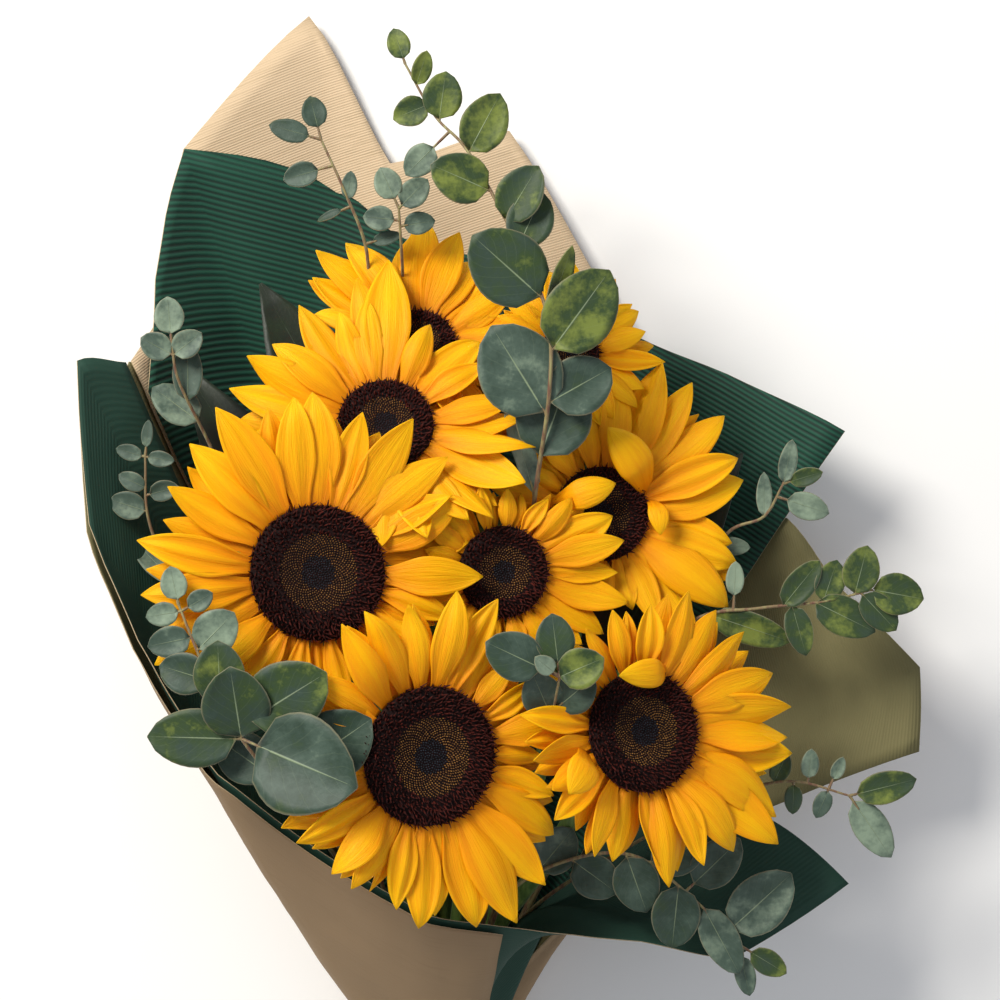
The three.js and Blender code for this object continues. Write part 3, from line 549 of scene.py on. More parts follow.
def add_bent_petal(bm, layers, head, angle, length, width, toward, rise, tone):
    """A petal that folds back over the disc's edge: its tip points to `toward`, seen from above."""
    start, end = math.radians(angle), math.radians(toward)
    foot = Vector((math.cos(start), math.sin(start), 0)) * (head.disc + 1.5)
    way = Vector((math.cos(end), math.sin(end), 0))
    side = UP.cross(way)
    over_disc = 2.5    # so much higher than the florets it passes

    def place(u, v):
        half = width / 2 * petal_half_width(v)
        t = (u - 0.5) * 2
        height = 1.0 + (head.dome + over_disc) * smooth(0.0, 0.35, v)
        height += rise * math.sin(v * 2.4) - 0.22 * half * t * t
        return head.matrix @ (foot + way * (length * v) + side * half * t + UP * height)

    grid_patch(bm, layers, PETAL_COLUMNS, PETAL_ROWS, place, lambda u, v: (tone, 0.3))


def build_petals(head):
    """An under layer of petals in the gaps, the listed ones over it, and those folded over the disc."""
    rng = random.Random(100 + head.number)
    info = HEADS[head.number]
    upper = all_rays(info["rays"])
    pressed_from, pressed_to = info.get("pressed", (0, 0))
    foot = head.disc - PETAL_INSET
    bm, layers = new_patchwork()
    for i, (angle, reach) in enumerate(upper):
        following = upper[(i + 1) % len(upper)][0]
        between = angle + ((following - angle) % 360) * rng.uniform(0.4, 0.6)
        length = reach - foot
        under = length * rng.uniform(0.8, 0.95)
        width = (2 + length * 0.31) * rng.uniform(0.88, 1.15)
        press = PRESS if pressed_from < angle < pressed_to else 0
        # The under petals get a tone of 0.5 to 1, more orange than the upper ones: random tone and painted
        # shade under the upper petals.
        add_petal(bm, layers, head, rng, math.radians(between), under, under * rng.uniform(0.32, 0.38),
                  (rng.uniform(-4, 4) - press, rng.uniform(-14, 2) - press), rng.uniform(-1.8, -0.8),
                  rng.uniform(0.5, 1.0))
        add_petal(bm, layers, head, rng, math.radians(angle), length, width,
                  (rng.uniform(8, 20) - press, rng.uniform(-12, 4) - press), rng.uniform(0.0, 1.2),
                  rng.uniform(0.0, 0.6))
    for angle, length, width, toward, rise in info.get("bent", []):
        add_bent_petal(bm, layers, head, angle, length, width, toward, rise, 0.1)
    made = add_piece(f"petals_{head.number}_rays", bm, ["petal"], f"petals_{head.number}")
    thicken(made, PETAL_SKIN)


OUTER_PITCH = 1.5      # between neighbouring open florets
INNER_PITCH = 1.05     # between neighbouring dots and buds
OPEN_FROM = 0.56       # the open florets start at this share of the disc's radius
BUD_TO = 0.24          # and the closed buds end at this one
GOLDEN_ANGLE = math.pi * (3 - math.sqrt(5))


def add_floret(bm, place, lean, angle, width, tall, tip, sides, material):
    """A tapered cone; tip is its upper radius as a share of width, its lower one."""
    upright = Quaternion((-math.sin(angle), math.cos(angle), 0), lean)
    seat = Matrix.Translation(place + UP * (tall * 0.35)) @ upright.to_matrix().to_4x4()
    cone = bmesh.ops.create_cone(bm, segments=sides, radius1=width, radius2=width * tip, depth=tall,
                                 cap_ends=True, cap_tris=False, matrix=seat)
    for face in {f for vert in cone["verts"] for f in vert.link_faces}:
        face.material_index = material


def build_disc(head):
    """The disc: a velvet bed, spiky open florets round it, a ring of pollen dots and closed buds."""
    rng = random.Random(200 + head.number)
    bm = bmesh.new()
    r = head.disc

    def surface(share):
        """Height of the bed over the petals' plane at a share of its radius: a ring round a dish."""
        edge = 1 - smooth(0.82, 1.0, share) * 0.7
        dish = 1 - 0.35 * (1 - smooth(0.1, 0.6, share))
        return DISC_LIFT - 0.5 + (head.dome - 1.8) * edge * dish

    rings = 10
    bed = [(r * 0.96 * k / rings, surface(k / rings)) for k in range(rings + 1)]
    spin_outline(bm, bed + [(r * 0.9, 0.2), (0, 0.2)], 36)
    for pitch, low, high in ((INNER_PITCH, 0.0, OPEN_FROM), (OUTER_PITCH, OPEN_FROM, 1.0)):
        count = int((r / pitch) ** 2 * math.pi)
        for k in range(int(count * low * low), int(count * high * high)):
            share = math.sqrt((k + 0.5) / count)
            angle = k * GOLDEN_ANGLE
            place = Vector((math.cos(angle), math.sin(angle), 0)) * r * 0.985 * share
            jitter = pitch * (1 if low > 0 else 0.4)
            place += Vector((rng.uniform(-0.3, 0.3), rng.uniform(-0.3, 0.3), 0)) * jitter
            place.z = surface(share)
            if low > 0:
                outward = smooth(OPEN_FROM, 1.0, share)
                tall = rng.uniform(1.8, 3.4) + outward * 0.8
                add_floret(bm, place, rng.uniform(0.0, 0.6) + outward * 0.4, angle + rng.uniform(-1.2, 1.2),
                           rng.uniform(0.5, 0.68), tall, 0.1, 4, 1)
            elif share > BUD_TO:
                add_floret(bm, place, 0.15, angle, 0.34, rng.uniform(0.8, 1.1), 0.45, 4, 2)
            else:
                add_floret(bm, place, 0.0, angle, 0.42, rng.uniform(0.6, 0.9), 0.4, 5, 3)
    bm.transform(head.matrix)
    add_piece(f"disc_{head.number}_florets", bm,
              ["disc_bed", "florets_outer", "florets_gold", "florets_bud"],
              f"disc_{head.number}")


def build_calyx(head):
    """The green cup behind the petals with its pointed bracts."""
    rng = random.Random(300 + head.number)
    bm, layers = new_patchwork()
    r, depth = head.disc, head.depth
    spin_outline(bm, [(0, -1.2), (r * 0.9, -1.2), (r + 1, -3), (r * 0.85, -7), (r * 0.55, 9 - depth),
                      (7, 4 - depth), (STEM_RADIUS + 1, -depth), (0, -depth)], 24)
    shape, tones = layers
    for face in bm.faces:
        for loop in face.loops:
            loop[shape].uv = (0.2, 0.5)
            loop[tones].uv = (0.5, 0.0)
    bm.transform(head.matrix)
    bracts = 22
    for k in range(bracts):
        angle = 2 * math.pi * k / bracts + rng.uniform(-0.08, 0.08)
        length = rng.uniform(13, 17)
        width = rng.uniform(7, 9)
        drop = -3.5 - 3.5 * (k % 2)
        rise = rng.uniform(-0.12, 0.25)
        chance = rng.uniform(0.3, 0.7)

        def place(u, v):
            half = width / 2 * max(0.03, 1 - v ** 1.6)
            t = (u - 0.5) * 2
            height = drop + length * rise * v * v - 0.8 * t * t
            return head.point(angle, r * 0.72 + length * v, height, half * t)

        grid_patch(bm, layers, 4, 6, place, lambda u, v: (chance, abs(u - 0.5) * 2 * 0.95))
    add_piece(f"calyx_{head.number}_bracts", bm, ["calyx"], f"calyx_{head.number}")


STEM_SWELL = 0.35      # added all round before the rounding, which draws a stem in


def build_stem(number):
    """A sunflower's stem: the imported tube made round, its cut ends kept sharp."""
    name = f"stem_{number}"
    bm = bmesh.new()
    bm.from_mesh(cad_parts[name].data)
    bmesh.ops.remove_doubles(bm, verts=bm.verts, dist=0.02 * MM)
    bmesh.ops.dissolve_limit(bm, angle_limit=math.radians(1.5), verts=bm.verts, edges=bm.edges)
    bmesh.ops.join_triangles(bm, faces=[f for f in bm.faces if len(f.verts) == 3], angle_face_threshold=0.6,
                             angle_shape_threshold=3.0)
    bm.normal_update()
    grown = [(v, v.co + v.normal * STEM_SWELL * MM) for v in bm.verts]
    for vert, co in grown:
        vert.co = co
    crease = bm.edges.layers.float.new("crease_edge")
    for face in bm.faces:
        if len(face.verts) > 4:
            for edge in face.edges:
                edge[crease] = 1.0
    made = add_piece(f"{name}_round", bm, ["stem"], name)
    rounding = made.modifiers.new("rounding", "SUBSURF")
    rounding.levels = rounding.render_levels = 2


# ---- eucalyptus ----------------------------------------------------------------------------------
LEAF_SKIN = 0.45       # thickness of a leaf
# slot: angle at the neck; route: the stem beyond the neck; leaves: x and y of the middle, height above
# the stem, length, width, roll, tone (0 olive, 0.3 dark green, 0.6 blue-grey, 0.9 silver), and True
# for a leaf that hangs back along its stem.
SPRIGS = {
    "top": {
        "slot": 26,
        "route": [(-4, -200, 58), (6, -130, 72), (13, -60, 84), (14, -5, 100), (20, 40, 119),
                  (21, 64, 122), (19, 79, 121), (0, 121, 114), (-15, 148, 106), (-27, 161, 100),
                  (-40, 184, 95)],
        "leaves": [(-43, 193, 0, 13, 10, 0, 0.15), (-33, 182, 2, 15, 9, 20, 0.1),
                   (-38, 163, 1, 15, 13, 0, 0.15), (-24, 170, 4, 19, 17, 0, 0.1),
                   (-6, 158, 3, 26, 20, 10, 0.15), (-17, 134, 6, 25, 21, 0, 0.15),
                   (-34, 142, -2, 16, 13, 0, 0.85), (9, 127, 5, 26, 20, -10, 0.2),
                   (13, 117, -3, 24, 20, 0, 0.3), (2, 97, 5, 36, 31, 0, 0.32),
                   (25, 92, 6, 27, 10, 35, 0.1), (34, 79, 5, 38, 30, 10, 0.2),
                   (7, 55, 3, 40, 35, 0, 0.6), (34, 48, -4, 28, 25, 0, 0.58),
                   (23, 36, 1, 36, 32, 0, 0.5), (9, 22, -2, 36, 13, 40, 0.85)],
    },
    "upper_left": {
        "slot": 232,
        "route": [(-34, -150, 28), (-52, -30, 30), (-60, 60, 50), (-57, 106, 78), (-66, 131, 86),
                  (-76, 153, 88)],
        "leaves": [(-79, 165, 1, 13, 11, 0, 0.5), (-90, 157, 0, 17, 10, 0, 0.6),
                   (-85, 138, -1, 15, 11, 0, 0.7), (-64, 134, 1, 12, 7, 0, 0.6),
                   (-73, 121, -1, 11, 4, 20, 0.5), (-48, 112, 1, 12, 6, 0, 0.6)],
    },
    "upper_small": {
        "slot": 180,
        "route": [(-20, -150, 16), (-30, 0, 22), (-41, 70, 42), (-42, 104, 78), (-43, 124, 86)],
        "leaves": [(-48, 135, 1, 14, 12, 0, 0.9), (-36, 131, 1, 15, 12, 0, 0.85),
                   (-52, 120, 0, 13, 11, 0, 0.8), (-34, 118, 0, 13, 10, 0, 0.7)],
    },
    "left_high": {
        "slot": 258,
        "route": [(-50, -160, 46), (-96, -50, 62), (-122, 20, 84), (-136, 52, 97), (-138, 66, 100)],
        "leaves": [(-139, 78, 1, 15, 13, 0, 0.85), (-145, 65, 0, 14, 12, 0, 0.75),
                   (-131, 66, 1, 14, 12, 0, 0.8), (-132, 55, -1, 24, 13, 0, 0.7),
                   (-138, 41, -2, 24, 17, 20, 0.75)],
    },
    "left_low": {
        "slot": 284,
        "route": [(-54, -170, 60), (-104, -90, 84), (-134, -40, 99), (-147, -8, 106), (-148, 18, 109)],
        "leaves": [(-147, 28, 1, 11, 5, 0, 0.7), (-155, 20, 0, 11, 7, 0, 0.7),
                   (-141, 17, 1, 11, 7, 0, 0.75), (-154, 8, 0, 12, 8, 0, 0.7),
                   (-156, -2, 0, 15, 12, 0, 0.65), (-140, 4, 0, 12, 9, 0, 0.7),
                   (-146, -25, -3, 26, 13, 30, 0.75)],
    },
    "left_front": {
        "slot": 312,
        "route": [(-42, -192, 68), (-64, -152, 98), (-86, -118, 146), (-108, -88, 160),
                  (-120, -63, 158), (-129, -42, 154)],
        "leaves": [(-131, -33, 1, 13, 11, 0, 0.85), (-120, -40, 0, 11, 9, 0, 0.8),
                   (-136, -46, -1, 13, 10, 0, 0.8), (-113, -52, 4, 20, 18, 0, 0.85),
                   (-133, -57, -1, 17, 13, 0, 0.6), (-127, -69, -2, 20, 17, 0, 0.5),
                   (-112, -68, 2, 24, 21, 0, 0.3), (-105, -81, 13, 30, 28, 0, 0.4),
                   (-84, -78, 13, 36, 30, 0, 0.25), (-124, -95, 1, 34, 24, 0, 0.28),
                   (-104, -103, -4, 25, 21, 0, 0.6), (-78, -105, 22, 44, 41, 0, 0.5, True),
                   (-64, -96, 18, 30, 28, 0, 0.58)],
    },
    "rosette": {
        "slot": 42,
        "route": [(-1, -195, 66), (10, -140, 98), (20, -95, 134), (24, -71, 154)],
        "leaves": [(5, -62, 2, 24, 20, 0, 0.45), (22, -55, 2, 19, 16, 0, 0.3),
                   (33, -67, 3, 19, 17, 0, 0.06), (18, -66, 6, 10, 8, 0, 0.95),
                   (17, -79, 12, 20, 17, 0, 0.6), (30, -78, 11, 20, 17, 0, 0.5)],
    },
    "right_middle": {
        "slot": 94,
        "route": [(16, -185, 44), (48, -115, 60), (82, -52, 80), (110, -46, 87), (137, -43, 90),
                  (158, -38, 91)],
        "leaves": [(100, -33, 0, 14, 8, 0, 0.9), (108, -55, 2, 34, 15, 15, 0.15),
                   (128, -35, 2, 24, 13, 0, 0.2), (127, -56, 1, 21, 12, 0, 0.15),
                   (140, -34, 1, 18, 13, 0, 0.2), (147, -50, 1, 27, 17, 0, 0.3),
                   (153, -29, 2, 20, 16, 0, 0.15), (161, -48, 0, 20, 14, 0, 0.2),
                   (169, -40, 1, 21, 18, 0, 0.1)],
    },
    "right_low": {
        "slot": 77,
        "route": [(14, -185, 52), (58, -150, 70), (104, -124, 86), (126, -119, 92), (150, -125, 93)],
        "leaves": [(119, -113, 1, 13, 9, 0, 0.3), (131, -111, 1, 12, 8, 0, 0.75),
                   (143, -113, 1, 10, 6, 0, 0.8), (124, -127, 0, 12, 8, 0, 0.35),
                   (136, -129, 0, 12, 8, 0, 0.7), (164, -121, 1, 25, 14, 0, 0.12),
                   (158, -140, -1, 28, 15, 0, 0.9)],
    },
    "bottom_right": {
        "slot": 60,
        "route": [(-1, -205, 62), (8, -168, 84), (34, -152, 92), (60, -150, 95), (86, -168, 94),
                  (107, -188, 92)],
        "leaves": [(24, -148, -2, 22, 19, 0, 0.6), (41, -160, -1, 22, 19, 0, 0.55),
                   (58, -163, -1, 24, 20, 0, 0.5), (76, -148, 1, 24, 20, 0, 0.6),
                   (74, -177, -2, 26, 21, 0, 0.5), (92, -152, 2, 26, 19, 0, 0.6),
                   (111, -169, 2, 33, 24, 0, 0.75), (94, -187, 1, 30, 16, 0, 0.8),
                   (114, -196, 0, 17, 11, 0, 0.15), (104, -202, -1, 17, 9, 0, 0.8)],
    },
    "right_high": {
        "slot": 120,
        "route": [(18, -180, 26), (60, -90, 44), (98, -14, 72), (113, -7, 78), (121, 7, 81)],
        "leaves": [(123, 17, 1, 18, 8, 0, 0.85), (113, 3, 0, 18, 7, 0, 0.85),
                   (132, -3, 1, 18, 12, 0, 0.9), (131, 10, 1, 14, 8, 0, 0.15),
                   (101, -20, 0, 14, 8, 0, 0.85)],
    },
}


def ring_point(radius, degrees):
    """A point of a ring round the neck; the angle runs from the top toward +X."""
    a = math.radians(degrees)
    return NECK + Vector((math.sin(a) * radius, 0, math.cos(a) * radius))


def sprig_route(sprig):
    """The stem's whole way, from its cut end through its slot at the neck to its tip."""
    slot = ring_point(SPRIG_RING, sprig["slot"])
    spread = (slot - NECK) * 0.15
    end = slot + spread + Vector((8, 0, -2))
    end.y = NECK.y - 100
    after = slot + spread
    after.y = NECK.y - 50
    before = slot.copy()
    before.y = NECK.y + 18
    outward = (slot - NECK).normalized() * (STEM_RING - DRAWN_RING)
    return smooth_route([end, after, slot, before] + [with_neck(p) + outward for p in sprig["route"]])


def add_leaf(bm, layers, rng, root, tip, width, roll, tone, kind="round"):
    """A leaf from its root to its tip, in millimetres: oval or pointed, a little cupped and wavy."""
    along = tip - root
    length = along.length
    along.normalize()
    side = UP.cross(along).normalized()
    side.rotate(Quaternion(along, math.radians(roll)))
    up = along.cross(side)
    cup = rng.uniform(0.04, 0.16)
    droop = rng.uniform(-0.02, 0.1) * length
    wave = rng.uniform(0.0, 0.02) * length
    phase = rng.uniform(0, 6.28)
    chance = clamp(tone + rng.uniform(-0.07, 0.07))

    def place(u, v):
        t = (u - 0.5) * 2
        if kind == "round":
            bulge = math.sin(math.pi * min(1.0, v ** 0.8)) ** 0.55 if 0 < v < 1 else 0.0
        else:
            bulge = math.sin(math.pi * v ** 0.7) ** 0.9 if 0 < v < 1 else 0.0
        half = width / 2 * max(0.03, bulge)
        height = cup * width * t * t * bulge - droop * v * v
        height += wave * math.sin(phase + v * 9 + t * 1.5) * abs(t) * bulge
        notch = -0.05 * length * abs(t) * (1 - smooth(0.0, 0.25, v)) if kind == "round" else 0.0
        return (root + along * (length * v + notch) + side * half * t + up * height) * MM

    def rim(u, v):
        """The leaf's own tone, and how near its margin is: 1 on it."""
        return (chance, max(abs(u - 0.5) * 2, 1 - v * 40, v * 40 - 39))

    grid_patch(bm, layers, 8, 10, place, rim)


def build_sprig(name, sprig):
    """A stem with its leaves. Each leaf starts at the lowest place on the stem that it can reach, or at the
    highest one if it hangs back."""
    rng = random.Random(sum(map(ord, name)))
    route = sprig_route(sprig)
    bm, layers = new_patchwork()
    stations = [p for p in route if p.y > NECK.y + 50]
    for x, y, above, length, width, roll, tone, *hangs in sprig["leaves"]:
        flat = [math.hypot(p.x - x, p.y - y) for p in stations]
        reach = max(min(flat) + 0.2, length * 0.62)
        near = [p for p, d in zip(stations, flat) if d <= reach]
        root = near[-1] if hangs else near[0]
        away = Vector((x - root.x, y - root.y, 0)).normalized()
        tip = Vector((x, y, root.z + above)) + away * (length / 2)
        foot = root + (tip - root) * max(0.04, 1 - length / max((tip - root).length, 1e-6))
        add_leaf(bm, layers, rng, foot, tip, width, roll, tone)
        if (foot - root).length > 1.0:
            add_tube(bm, [p * MM for p in (root, (root + foot) / 2, foot + (tip - foot) * 0.1)],
                     [0.7 * MM, 0.6 * MM, 0.4 * MM], 6, 1)
    bmesh.ops.solidify(bm, geom=[f for f in bm.faces if f.material_index == 0], thickness=LEAF_SKIN * MM)
    count = len(route)
    radii = [(SPRIG_RADIUS + 0.1 - 0.7 * (k / count) ** 1.5) * MM for k in range(count)]
    add_tube(bm, [p * MM for p in route], radii, 8, 1)
    add_piece(f"eucalyptus_{name}_sprig", bm, ["eucalyptus", "sprig_stem"],
              f"eucalyptus_{name}")


# ---- broad sunflower leaves ----------------------------------------------------------------------
BROAD_LEAF_SKIN = 0.5
# name: (root, tip, width, roll)
BROAD_LEAVES = {
    "leaf_left": ((-66, -58, 74), (-136, 62, 62), 46, 20),
    "leaf_upper": ((-48, -6, 50), (-104, 96, 50), 48, 15),
    "leaf_right": ((40, -78, 62), (104, 22, 58), 40, -20),
}


def build_broad_leaf(name, root, tip, width, roll):
    """One pointed leaf in the shadow between the flowers."""
    rng = random.Random(sum(map(ord, name)))
    bm, layers = new_patchwork()
    add_leaf(bm, layers, rng, Vector(root), Vector(tip), width, roll, 0.5, kind="pointed")
    # The leaf's near-black colour is painted shade.
    made = add_piece(f"{name}_blade", bm, ["broad_leaf"], name)
    thicken(made, BROAD_LEAF_SKIN)


# ---- paper ---------------------------------------------------------------------------------------
# Each rib of the wrap runs from the neck at `angle` past `bend` to `rim`; `ends` says how far along it
# each sheet reaches, from the innermost sheet out.
RIBS = [
    {"angle": 0, "bend": (-20, -218, 80), "rim": (-29, -173, 112), "ends": (1, 0, 0, 0.99)},
    {"angle": 20, "bend": (0, -215, 75), "rim": (1, -179, 107), "ends": (1, 0, 0, 0.99)},
    {"angle": 45, "bend": (-4, -148, 62), "rim": (60, -188, 85), "ends": (1, 0, 0, 0)},
    {"angle": 60, "bend": (0, -130, 50), "rim": (100, -197, 74), "ends": (1, 0, 0, 0)},
    {"angle": 75, "bend": (57, -66, 42), "rim": (150, -165, 72), "ends": (1, 0, 0, 0)},
    {"angle": 90, "bend": (-12, -178, 26), "rim": (182, -109, 58), "ends": (0, 0, 0, 1)},
    {"angle": 105, "bend": (35, -150, 18), "rim": (182, -73, 60), "ends": (0, 0, 0, 1)},
    {"angle": 114, "bend": (42, -140, 12), "rim": (163, -20, 58), "ends": (0, 0, 0, 0.93)},
    {"angle": 123, "bend": (45, -130, 8), "rim": (150, 30, 56), "ends": (0, 1, 0, 0.88)},
    {"angle": 140, "bend": (35, -120, -5), "rim": (100, 56, 32), "ends": (0, 1, 0.8, 0.8)},
    {"angle": 155, "bend": (22, -105, -14), "rim": (54, 82, 13), "ends": (0, 0.99, 1, 0.85)},
    {"angle": 168, "bend": (5, -100, -16), "rim": (4, 167, 9), "ends": (0, 0.88, 1, 0.8)},
    {"angle": 180, "bend": (-15, -98, -16), "rim": (-51, 160, 9), "ends": (0, 0.92, 0.985, 0.8)},
    {"angle": 195, "bend": (-35, -98, -15), "rim": (-86, 219, 10), "ends": (0, 0.87, 1, 0.7)},
    {"angle": 210, "bend": (-55, -100, -8), "rim": (-141, 157, 24), "ends": (0, 1, 1, 0.8)},
    {"angle": 228, "bend": (-68, -100, 6), "rim": (-150, 97, 50), "ends": (0, 1, 0.97, 0.9)},
    {"angle": 245, "bend": (-80, -108, 22), "rim": (-157, 60, 76), "ends": (0, 0.96, 1, 1)},
    {"angle": 258, "bend": (-88, -112, 38), "rim": (-158, 58, 96), "ends": (1, 0, 0, 0.99)},
    {"angle": 270, "bend": (-96, -118, 50), "rim": (-176, 58, 112), "ends": (1, 0, 0, 0.98)},
    {"angle": 285, "bend": (-97, -140, 66), "rim": (-170, -10, 118), "ends": (1, 0, 0, 0.99)},
    {"angle": 300, "bend": (-90, -168, 78), "rim": (-150, -58, 118), "ends": (1, 0, 0, 0.99)},
    {"angle": 315, "bend": (-84, -180, 82), "rim": (-132, -89, 116), "ends": (1, 0, 0, 0.99)},
    {"angle": 330, "bend": (-72, -192, 85), "rim": (-117, -114, 114), "ends": (1, 0, 0, 0.99)},
    {"angle": 345, "bend": (-45, -206, 83), "rim": (-69, -150, 113), "ends": (1, 0, 0, 0.99)},
]
RIM_ROUNDING = 0.3     # 0 is straight from rib to rib, 1 the smooth curve
SHEET_SKIN = 0.4       # thickness of a sheet
SKIRT_ROWS = 8         # rows of faces below the neck
SHEET_ROWS = 56        # and from the neck to the edge


def loop_point(key, place):
    """A smooth closed curve through one point of each rib."""
    i = math.floor(place)
    w = place - i
    p0, p1, p2, p3 = (key(RIBS[(i + k) % len(RIBS)]) for k in (-1, 0, 1, 2))
    return (p1 * 2 + (p2 - p0) * w + (p0 * 2 - p1 * 5 + p2 * 4 - p3) * w ** 2
            + (p1 * 3 - p0 - p2 * 3 + p3) * w ** 3) / 2


def rim_point(place):
    """The paper's edge: nearly straight from rib to rib, with its corners a little rounded."""
    i = math.floor(place)
    here, there = (Vector(RIBS[(i + k) % len(RIBS)]["rim"]) for k in (0, 1))
    return here.lerp(there, place - i).lerp(loop_point(lambda rib: Vector(rib["rim"]), place), RIM_ROUNDING)


def wrap_point(place, t):
    """The middle of the innermost sheet's surface: t runs from the neck (0) to the rim (1)."""
    whole = math.floor(place)
    a = RIBS[whole % len(RIBS)]["angle"]
    b = RIBS[(whole + 1) % len(RIBS)]["angle"]
    angle = a + ((b - a) % 360) * (place - whole)
    if t < 0:
        return ring_point(PAPER_RING * (1 - t * SKIRT_FLARE), angle) + Vector((0, t * SKIRT, 0))
    foot = ring_point(PAPER_RING, angle)
    bend = loop_point(lambda rib: with_neck(rib["bend"]), place)
    return foot * (1 - t) ** 2 + bend * 2 * t * (1 - t) + rim_point(place) * t * t


def wrap_normal(place, t):
    """The way out of the wrap, square to its surface."""
    h = 0.01
    across = wrap_point(place + h, t) - wrap_point(place - h, t)
    along = wrap_point(place, t + h) - wrap_point(place, t - h)
    return across.cross(along).normalized()


SHEETS = {
    # name: (layer, first rib, last rib, the way across the paper's own ribs or None where they lie along
    # its edge, slot, inner face, outer face)
    "green_front_sheet": (0, 17, 28, None, "green_paper", "green_smooth_shaded", "green_smooth_shaded"),
    "green_back_sheet": (1, 8, 16, (0.36, 0.93, 0.45), "green_paper", "green_ribbed", "green_smooth_shaded"),
    "kraft_back_sheet": (2, 9, 16, (-0.33, 0.94, 0.3), "kraft_paper", "kraft", "kraft_outer_shaded"),
    "kraft_front_sheet": (3, 5, 25, None, "kraft_paper", "kraft_inner_shaded", "kraft_outer_shaded"),
}


def build_sheet(name, layer, first, last, across, slot, inner, outer):
    """A sheet in its layer of the wrap, a little crumpled, lying on the floor where it would pass it."""
    columns = (last - first) * 6
    rows = SKIRT_ROWS + SHEET_ROWS
    floor = (LAYERS - 1 - layer) * PAPER_STEP + PAPER
    bm, layers = new_patchwork()
    ribs = {}

    def end_at(place):
        """How far along the wrap this sheet reaches."""
        i = math.floor(place)
        a = RIBS[i % len(RIBS)]["ends"][layer]
        b = RIBS[(i + 1) % len(RIBS)]["ends"][layer]
        return a + (b - a) * (place - i)

    def place_point(u, v):
        place = first + u * (last - first)
        k = v * rows - SKIRT_ROWS
        t = k / SKIRT_ROWS if k < 0 else k / SHEET_ROWS * end_at(min(place, last - 1e-6))
        t = max(t, -1.0)
        normal = wrap_normal(place, t)
        point = wrap_point(place, t)
        crumple = noise.noise(point * 0.02) * 1.6 + noise.noise(point * 0.07) * 0.5
        point = point + normal * (layer * PAPER_STEP + crumple * smooth(0.0, 0.6, t))
        point.z = max(point.z, floor)
        run = point.dot(Vector(across)) if across else t * 300
        ribs[(round(u * columns), round(v * rows))] = (place * 20, run)
        return point * MM

    grid_patch(bm, layers, columns, rows, place_point, lambda u, v: (0.5, 0.0))
    shape = layers[0]
    for face in bm.faces:
        for loop in face.loops:
            u, v = loop[shape].uv
            loop[shape].uv = ribs[(round(u * columns), round(v * rows))]
    made = add_piece(f"{name}_paper", bm, [inner, outer, "paper_edge"], name)
    made.data.flip_normals()
    solid = thicken(made, SHEET_SKIN, rim=2)
    solid.material_offset = 1


# ---- twine ---------------------------------------------------------------------------------------
def build_tie(node, ring, twine):
    """Three strands twisted round each other, lying in a ring."""
    low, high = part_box(node)
    middle = (low + high) / 2
    bm = bmesh.new()
    steps = 160
    lay = twine * 6        # length of one full twist
    turns = round(ring * 2 * math.pi / lay)
    for strand in range(3):
        points = []
        for k in range(steps):
            a = 2 * math.pi * k / steps
            b = turns * a + strand * 2 * math.pi / 3
            radius = (ring + math.cos(b) * twine * 0.5) * MM
            points.append(middle + Vector((math.sin(a) * radius, math.sin(b) * twine * 0.5 * MM,
                                           math.cos(a) * radius)))
        add_tube(bm, points, [twine * 0.5 * MM] * steps, 8, 0, closed=True)
    add_piece(f"{node}_twine", bm, ["twine"], node)


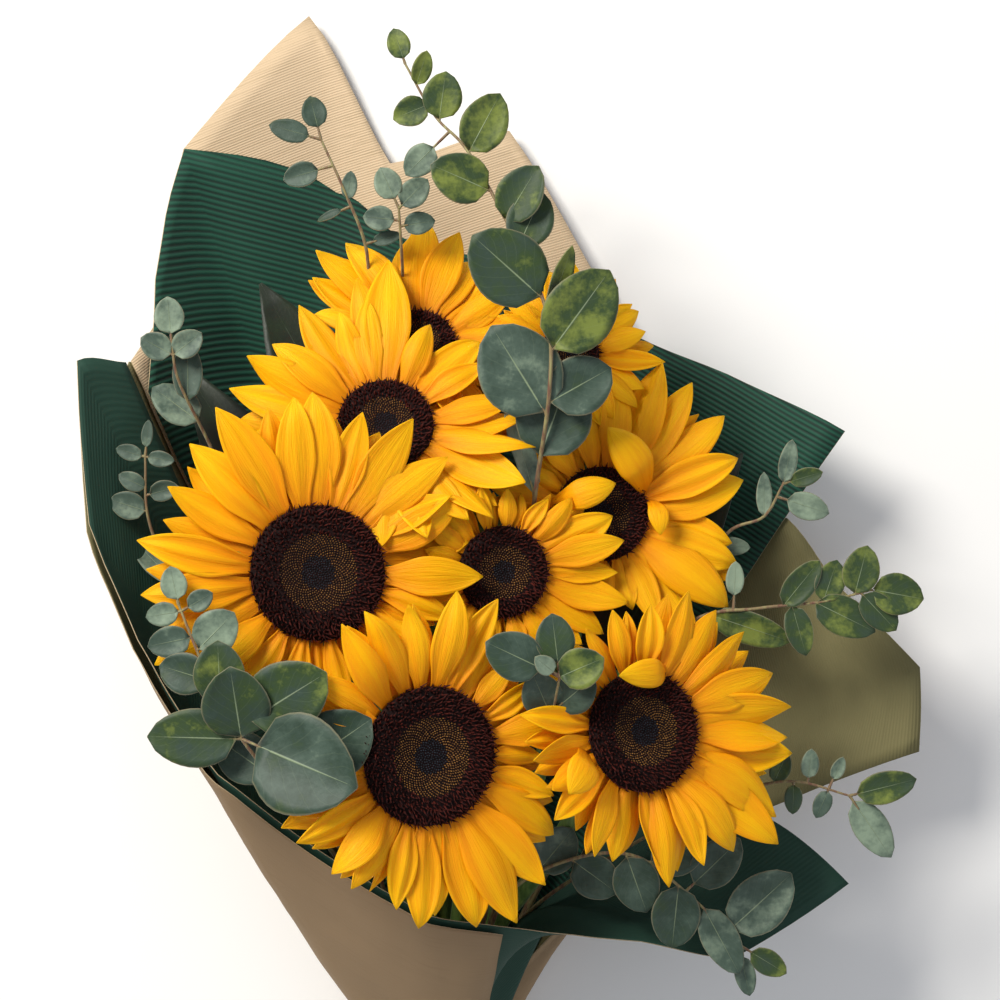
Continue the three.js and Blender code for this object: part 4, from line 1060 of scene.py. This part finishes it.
# ---- building everything -------------------------------------------------------------------------
for number in HEADS:
    head = Head(number)
    build_petals(head)
    build_disc(head)
    build_calyx(head)
    build_stem(number)
for sprig_name, sprig_facts in SPRIGS.items():
    build_sprig(sprig_name, sprig_facts)
for leaf_name, leaf_facts in BROAD_LEAVES.items():
    build_broad_leaf(leaf_name, *leaf_facts)
for sheet_name, sheet_facts in SHEETS.items():
    build_sheet(sheet_name, *sheet_facts)
build_tie("stem_tie", INNER_TIE_RING, INNER_TWINE)
build_tie("paper_tie", OUTER_TIE_RING, OUTER_TWINE)


# ---- floor, light and camera ---------------------------------------------------------------------
def build_stage():
    """The floor under the bunch, just below the paper."""
    made, tree, shader = new_material("matt_white_floor")
    finish_shader(tree, shader, linear("#f4f4f2"), 0.9)
    bm = bmesh.new()
    bmesh.ops.create_grid(bm, x_segments=1, y_segments=1, size=4.0)
    mesh = bpy.data.meshes.new("floor")
    bm.to_mesh(mesh)
    bm.free()
    mesh.materials.append(made)
    floor = bpy.data.objects.new("floor", mesh)
    floor.location.z = -0.0004
    bpy.context.scene.collection.objects.link(floor)


def add_area_light(name, place, size, power, colour):
    """A round light that faces the origin."""
    data = bpy.data.lights.new(name, "AREA")
    data.shape = "DISK"
    data.size = size
    data.energy = power
    data.color = linear(colour)[:3]
    lamp = bpy.data.objects.new(name, data)
    lamp.location = place
    lamp.rotation_mode = "QUATERNION"
    lamp.rotation_quaternion = (-Vector(place)).to_track_quat("-Z", "Y")
    bpy.context.scene.collection.objects.link(lamp)


def build_light():
    """Soft light of a room with a window at the upper left."""
    world = bpy.data.worlds.new("soft_room")
    world.use_nodes = True
    background = world.node_tree.nodes["Background"]
    background.inputs["Color"].default_value = linear("#f6f8ff")
    background.inputs["Strength"].default_value = 0.45
    bpy.context.scene.world = world
    add_area_light("window_light", (-0.9, 0.85, 1.25), 0.7, 36.0, "#fffaf2")
    add_area_light("fill_light", (1.1, -0.6, 1.5), 1.6, 4.0, "#f4f7ff")
    bpy.context.scene.view_settings.view_transform = "Standard"


CAMERA_HEIGHT = 1.3    # metres over the floor
CAMERA_LENS = 102.8    # millimetres


def build_camera():
    """Straight above the middle of the flowers, with the stems toward the bottom of the picture."""
    data = bpy.data.cameras.new("camera")
    data.sensor_width = 36.0
    data.lens = CAMERA_LENS
    data.clip_end = 20.0
    camera = bpy.data.objects.new("camera", data)
    camera.location = (0, 0, CAMERA_HEIGHT)
    bpy.context.scene.collection.objects.link(camera)
    bpy.context.scene.camera = camera


build_stage()
build_light()
build_camera()
